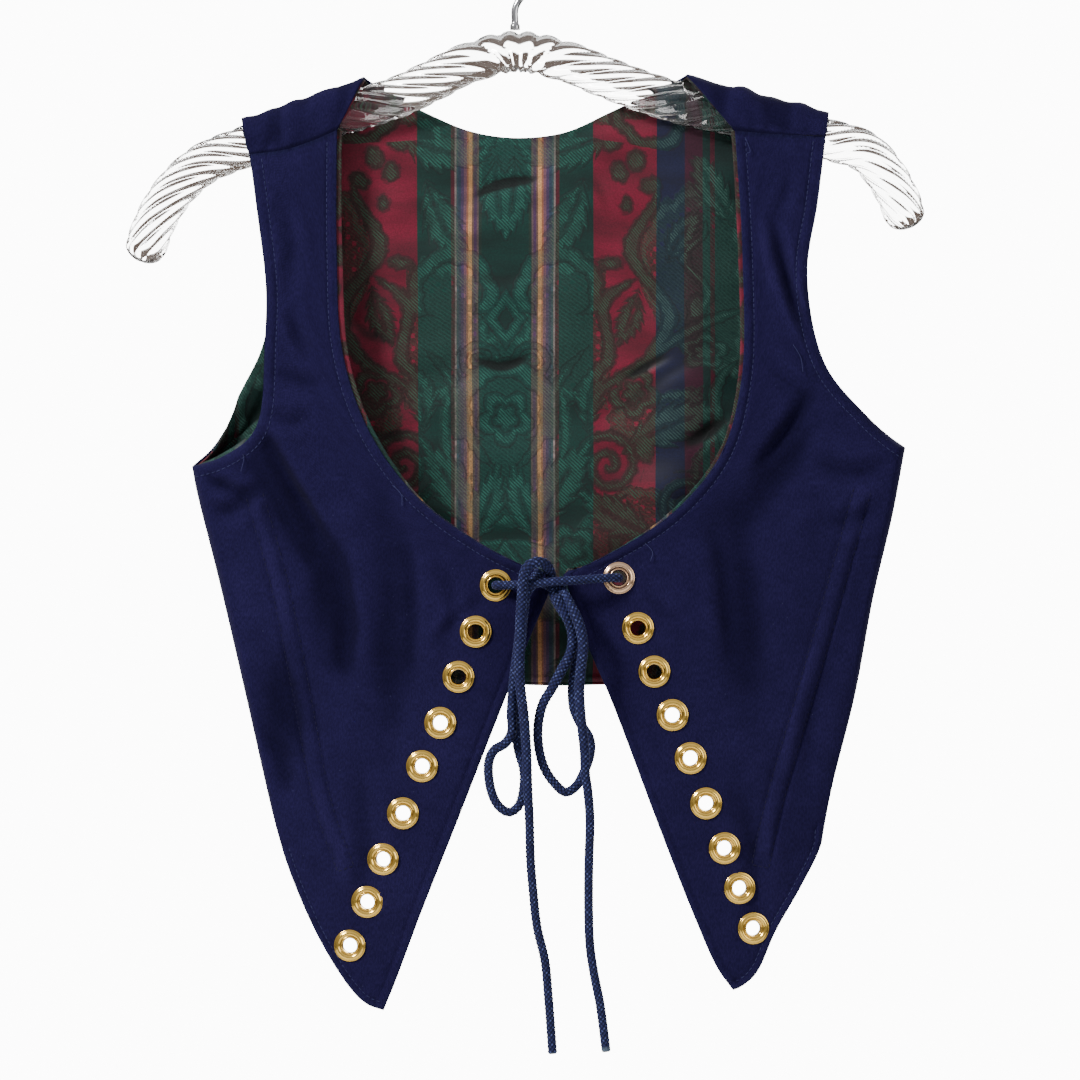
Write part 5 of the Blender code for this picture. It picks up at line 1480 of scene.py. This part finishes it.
def add_hanger(material):
    path = smooth_path(arm_line(), 10)
    length = lengths(path)[-1]
    caps = ARM_TIP * (1 - np.cos(np.linspace(0, math.pi / 2, 9)))[1:-1]
    spots = np.concatenate([caps, np.linspace(ARM_TIP, length - ARM_TIP, int(length / HANGER_STEP)),
                            (length - caps)[::-1]])
    centre = along(path, spots / length)
    side = sideways(centre)
    size = rounded(np.minimum(spots, length - spots) / ARM_TIP)
    turn = round_turns(HANGER_SIDES)
    from_middle = centre[:, :1] - FAN_MIDDLE
    folded = np.arccos(np.cos(turn))  # the same in front and behind
    twist = FLUTES * (folded + np.abs(spots - length / 2)[:, None] * math.tau / FLUTE_TURN)
    flute = np.abs(np.sin(twist / 2)) ** 0.8
    fan = np.abs(np.sin(np.arctan2(from_middle, 16.0 + 9.0 * np.cos(turn)) * 9.0)) ** 0.8
    near_middle = np.clip(1.5 - np.abs(from_middle) / FAN_REACH, 0, 1)
    relief = 1 - FLUTE_DEPTH * (1 - (flute * (1 - near_middle) + fan * near_middle))
    for across, half_width in NOTCHES:
        dip = np.clip(1 - ((centre[:, :1] - across) / half_width) ** 2, 0, 1) ** 0.5
        relief = relief - NOTCH_DEPTH * dip * np.clip(np.cos(turn), 0, 1) ** 3
    relief = relief * size[:, None]
    spot = centre[:, None] - side[:, None] * (ARM_HALF_HEIGHT * np.cos(turn) * relief)[..., None]
    places = np.vstack([at_depth(spot, ARM_HALF_DEPTH * np.sin(turn) * relief).reshape(-1, 3),
                        at_depth(centre[[0, -1]], (0, 0))])
    return add_mesh("hanger_fluted", to_world(places), tube_faces(len(spots), HANGER_SIDES), material)


def clear_looks(nodes):
    place = nodes.place_mm()
    marks = nodes.group(SCUFFS, Vector=place, Smooth=0.02)
    return {"Roughness": marks["Roughness"] * 0.35, "bump": (nodes.noise(place, 0.12, 2.0), 0.12, 0.0006)}


CLEAR = new_material("clear acrylic", clear_looks, Base_Color=(0.97, 0.97, 0.96), IOR=1.49,
                     Transmission_Weight=1.0)
put_in_place(add_hanger(CLEAR), "clear_plastic", "hanger")
print("hanger", round(lengths(smooth_path(arm_line(), 10))[-1]), "mm along its middle")


# %% Hook
WIRE, HOOK_BEND, WIRE_SIDES = 1.9, 16.0, 20
STEM = [(0.0, -HOOK_RISE - 0.1), (0.0, -50.0), (0.0, -44.0), (2.6, -38.6), (9.0, -32.4)]


def add_hook(material):
    """A round wire with a collar at the hanger and a ball at its tip."""
    arc = [(HOOK_BEND * math.sin(t), WIRE - HOOK_BEND + HOOK_BEND * math.cos(t))
           for t in np.radians(range(130, -125, -15))]
    centre = np.insert(smooth_path(STEM + arc, 8), 1, 0.0, axis=1)
    reach = lengths(centre)
    radius = np.interp(reach, [0, 2.4, 2.8, 3.6, 4.2, reach[-1]], [2.7, 2.7, 2.5, 1.95, WIRE, WIRE])
    radius = radius * rounded((reach[-1] - reach) / 2.2, 0.02)
    places, faces = tube(centre, radius[:, None, None], WIRE_SIDES)
    tarnish = np.append(np.repeat(np.where(reach < 4, 0.5, 0.1), WIRE_SIDES), (0.5, 0.1))
    return add_mesh("hook_wire", places * MM, faces, material, tarnish=tarnish)


STEEL = metal("bright steel", (0.62, 0.62, 0.63), (0.2, 0.19, 0.18), 0.12)
put_in_place(add_hook(STEEL), "steel", "hook")
print("hook of", 2 * WIRE, "mm wire")

# %% [markdown]
# The bow is tied loosely. One stretch of the lace runs straight from the left grommet to the right
# one, in front of the rest; the left end crosses over it, arches above it and goes down behind, where
# the other strands meet. The knot is built from those same turns of braid instead of a ball, so it
# looks right from above and below as well.

# %% Lace across and knot
LACE_BEND = 4.6  # radius of the lace's bend through a grommet
LACE_BEFORE, LACE_BEHIND = 0.6, 3.0  # how far out and in from the cloth the bend starts and ends
RUN = [(2, 29.6, 300.4), (8, 31.6, 299.8), (14, 32.4, 299.2), (20, 32.6, 298.8), (27, 32.2, 298.4),
    (34, 31, 298), (42, 29, 297.4)]
KNOT_TURNS = [
    # From the left end's start, over the run and down behind it to the right loop
    [(9.6, 36.6, 288.6), (12.3, 35.8, 288.2), (15.8, 33.4, 289.2), (18.4, 30, 292.4), (19.6, 27, 297.6),
        (20.4, 26.4, 303), (22.2, 28.6, 308.6), (25.4, 31, 314), (27.6, 31.2, 317.2)],
    # From the left loop's first strand, up behind the run
    [(4.6, 29.7, 312), (5.4, 29, 306), (8.4, 27, 300), (12, 26.6, 295.4), (14.8, 29, 291.6)],
    # From the left loop's last strand, across behind and down to the right end
    [(6.6, 25.6, 303.4), (10.6, 25.6, 299.6), (15, 25, 299.4), (20, 24.8, 301.6), (24, 27.4, 302.6),
        (27, 30.4, 306.4), (29.8, 32.8, 311.6)],
    # From the right loop's last strand, up behind the run
    [(28.4, 24.2, 315), (26.6, 24.4, 308), (25, 25.2, 302), (24, 26.6, 297.6)],
]


def through_grommet(seat, towards):
    """The lace's way from the front, round the grommet's rim and behind the cloth, in millimetres."""
    middle, way = seat
    towards = unit(np.array(towards, float) - way * (way @ towards))
    angles = np.radians(np.linspace(0, 90, 6))[:, None]
    front = way * (LACE_BEND * np.cos(angles) + LACE_BEFORE) + towards * LACE_BEND * (1 - np.sin(angles))
    behind = way * (-LACE_BEHIND - LACE_BEND * np.sin(angles)) + towards * LACE_BEND * (1 - np.cos(angles))
    return from_world(middle + np.vstack([front, behind]) * MM)


left = through_grommet(SEATS["left"][0], (1, 0, 0))
right = through_grommet(SEATS["right"][0], (-1, 0, 0))
share = np.linspace(0, 1, 7)[1:-1, None]
inside = left[-1] * (1 - share) + right[-1] * share + np.sin(math.pi * share) * (0.0, -1.5, 1.0)
route = smooth_path(np.vstack([inside[:2][::-1], left[::-1], RUN, right, inside[3:][::-1]]), 8)
put_in_place(braided_piece("lace_across_braid", [route], 0.82), "lace", "lace_across")
knot = braided_piece("lace_knot_turns", [smooth_path(turn) for turn in KNOT_TURNS])
put_in_place(knot, "lace", "lace_knot")
print("knot", len(knot.data.polygons), "faces")

# %% [markdown]
# The seams are sewn with a navy thread a shade paler than the cloth. It shows as a fine broken line a
# few millimetres inside each turned edge, in pairs along the bones, and in short tails that were
# never trimmed. Each stitch is a small sunk capsule laid on the cloth, because a line in the bump
# would vanish from the side.

# %% Stitching
STITCH_PITCH, STITCH_LENGTH = 3.0, 2.3
THREAD, TAIL_THREAD = 0.21, 0.17  # the thread's radius
STITCH_SIDES = 6
LARGEST_GAP = 2.5 * STITCH_PITCH * MM  # beyond it the face has a hole or an end
CAPSULE = np.array([(-0.5, 0.25, -0.5), (-0.42, 0.75, -0.1), (-0.22, 1.0, 0.35), (0.22, 1.0, 0.35),
                    (0.42, 0.75, -0.1), (0.5, 0.25, -0.5)])  # shares of its length, and of its radius
INSIDE = {"left": (-95.0, 300.0), "right": (140.0, 300.0), "back": (15.0, 230.0)}
# Tails of thread: across, drop
TAILS = {
    "left": [[(-97, 55.5), (-100, 51), (-104, 49.5)], [(-149, 226), (-146.5, 232), (-148, 240)],
        [(-66, 247), (-61, 252), (-60.5, 258)]],
    "right": [[(121, 54), (125, 60), (127, 67), (124.5, 68)], [(150, 171), (154, 178), (155, 186)],
        [(70, 278), (74, 283), (73, 288)]],
    "back": [[(128, 395), (126, 389), (129, 384)]],
}


def capsule(middle, run, out, length, radius):
    """The places and faces of one stitch, half sunk in the cloth."""
    run, out = unit(run), unit(out)
    station, size, lift = CAPSULE.T[..., None, None]
    turn = round_turns(STITCH_SIDES)[:, None]
    ring = np.cross(out, run) * np.cos(turn) + out * np.sin(turn)
    line = middle + run * station * length + out * lift * radius
    places = (line + ring * radius * size).reshape(-1, 3)
    return np.vstack([places, line[0], line[-1]]), tube_faces(len(CAPSULE), STITCH_SIDES)


def sew(face, route, parts, seed):
    """Adds a row of stitches along a route of (across, drop) on a face."""
    dice = random.Random(seed)
    count = int(lengths(route)[-1] / STITCH_PITCH)
    spots = along(route, (np.arange(count) + 0.5) / count)
    for spot, after in zip(spots, np.vstack([spots[1:], 2 * spots[-1:] - spots[-2:-1]])):
        found, ahead = on_face(face, *spot), on_face(face, *after)
        if found is None or ahead is None or np.linalg.norm(ahead[0] - found[0]) > LARGEST_GAP:
            continue
        run = ahead[0] - found[0] + np.array([dice.uniform(-0.06, 0.06) * MM * STITCH_PITCH for _ in range(3)])
        length = STITCH_LENGTH * MM * dice.uniform(0.88, 1.05)
        parts.append(capsule(found[0], run, found[1], length, THREAD * MM))


def thread_tail(face, ends):
    """A loose end of thread that lifts off the face from place to place."""
    lifted = []
    for step, spot in enumerate(ends):
        found = on_face(face, *spot)
        if found:
            lifted.append(from_world(found[0] + found[1] * (0.15 + 0.8 * step) * MM))
    return [tube(to_world(smooth_path(lifted, 8)), TAIL_THREAD * MM, STITCH_SIDES)] if len(lifted) > 1 else []


def add_stitching(name, parts, material):
    put_in_place(add_mesh(name, *joined(parts), material), "twill")
    print(name, len(parts), "stitches")


def stitch_panel(face, edges):
    parts, channels = [], []
    for name, edge in edges:
        path = smooth_path(edge)
        side = sideways(path)
        if (np.array(INSIDE[face]) - path.mean(0)) @ side[len(side) // 2] < 0:
            side = -side
        sew(face, path + side * STITCH_INSET[name], parts, face + name)
    for route in BONES[face]:
        path = smooth_path(route)
        side = sideways(path) * (BONE_HALF_WIDTH + 0.3)
        for line in (path + side, path - side, np.array([path[-1] + side[-1], path[-1] - side[-1]])):
            sew(face, line, channels, face + "bone")
    add_stitching(f"channel_stitching_{face}", channels, CHANNEL_SHADE_THREAD)
    for ends in TAILS[face]:
        parts += thread_tail(face, ends)
    add_stitching(f"stitching_{face}", parts, PALE_THREAD)


def thread(name, dye):
    def looks(nodes):
        spun = nodes.group(YARN, Vector=nodes.place_mm(), Colour=dye, Unevenness=0.8)
        return {"Base Color": spun["Colour"], "bump": (spun["Height"], 0.4, 0.00004)}

    return new_material(name, looks, Roughness=0.7, Specular_IOR_Level=0.2)


# a paler thread for the edges and a darker one for the bones' channels, whose darkness is painted shade of the
# stitched grooves
PALE_THREAD = thread("pale navy thread", colour(47, 49, 88))
CHANNEL_SHADE_THREAD = thread("navy thread darkened as channel shade", colour(20, 17, 46))
for side, edges in FRONT_EDGES.items():
    stitch_panel(side, [(name, edges[name]) for name in ("neck", "armhole", "hem")])
stitch_panel("back", [(name.split("_")[0], edge) for name, edge in BACK_EDGES.items()])
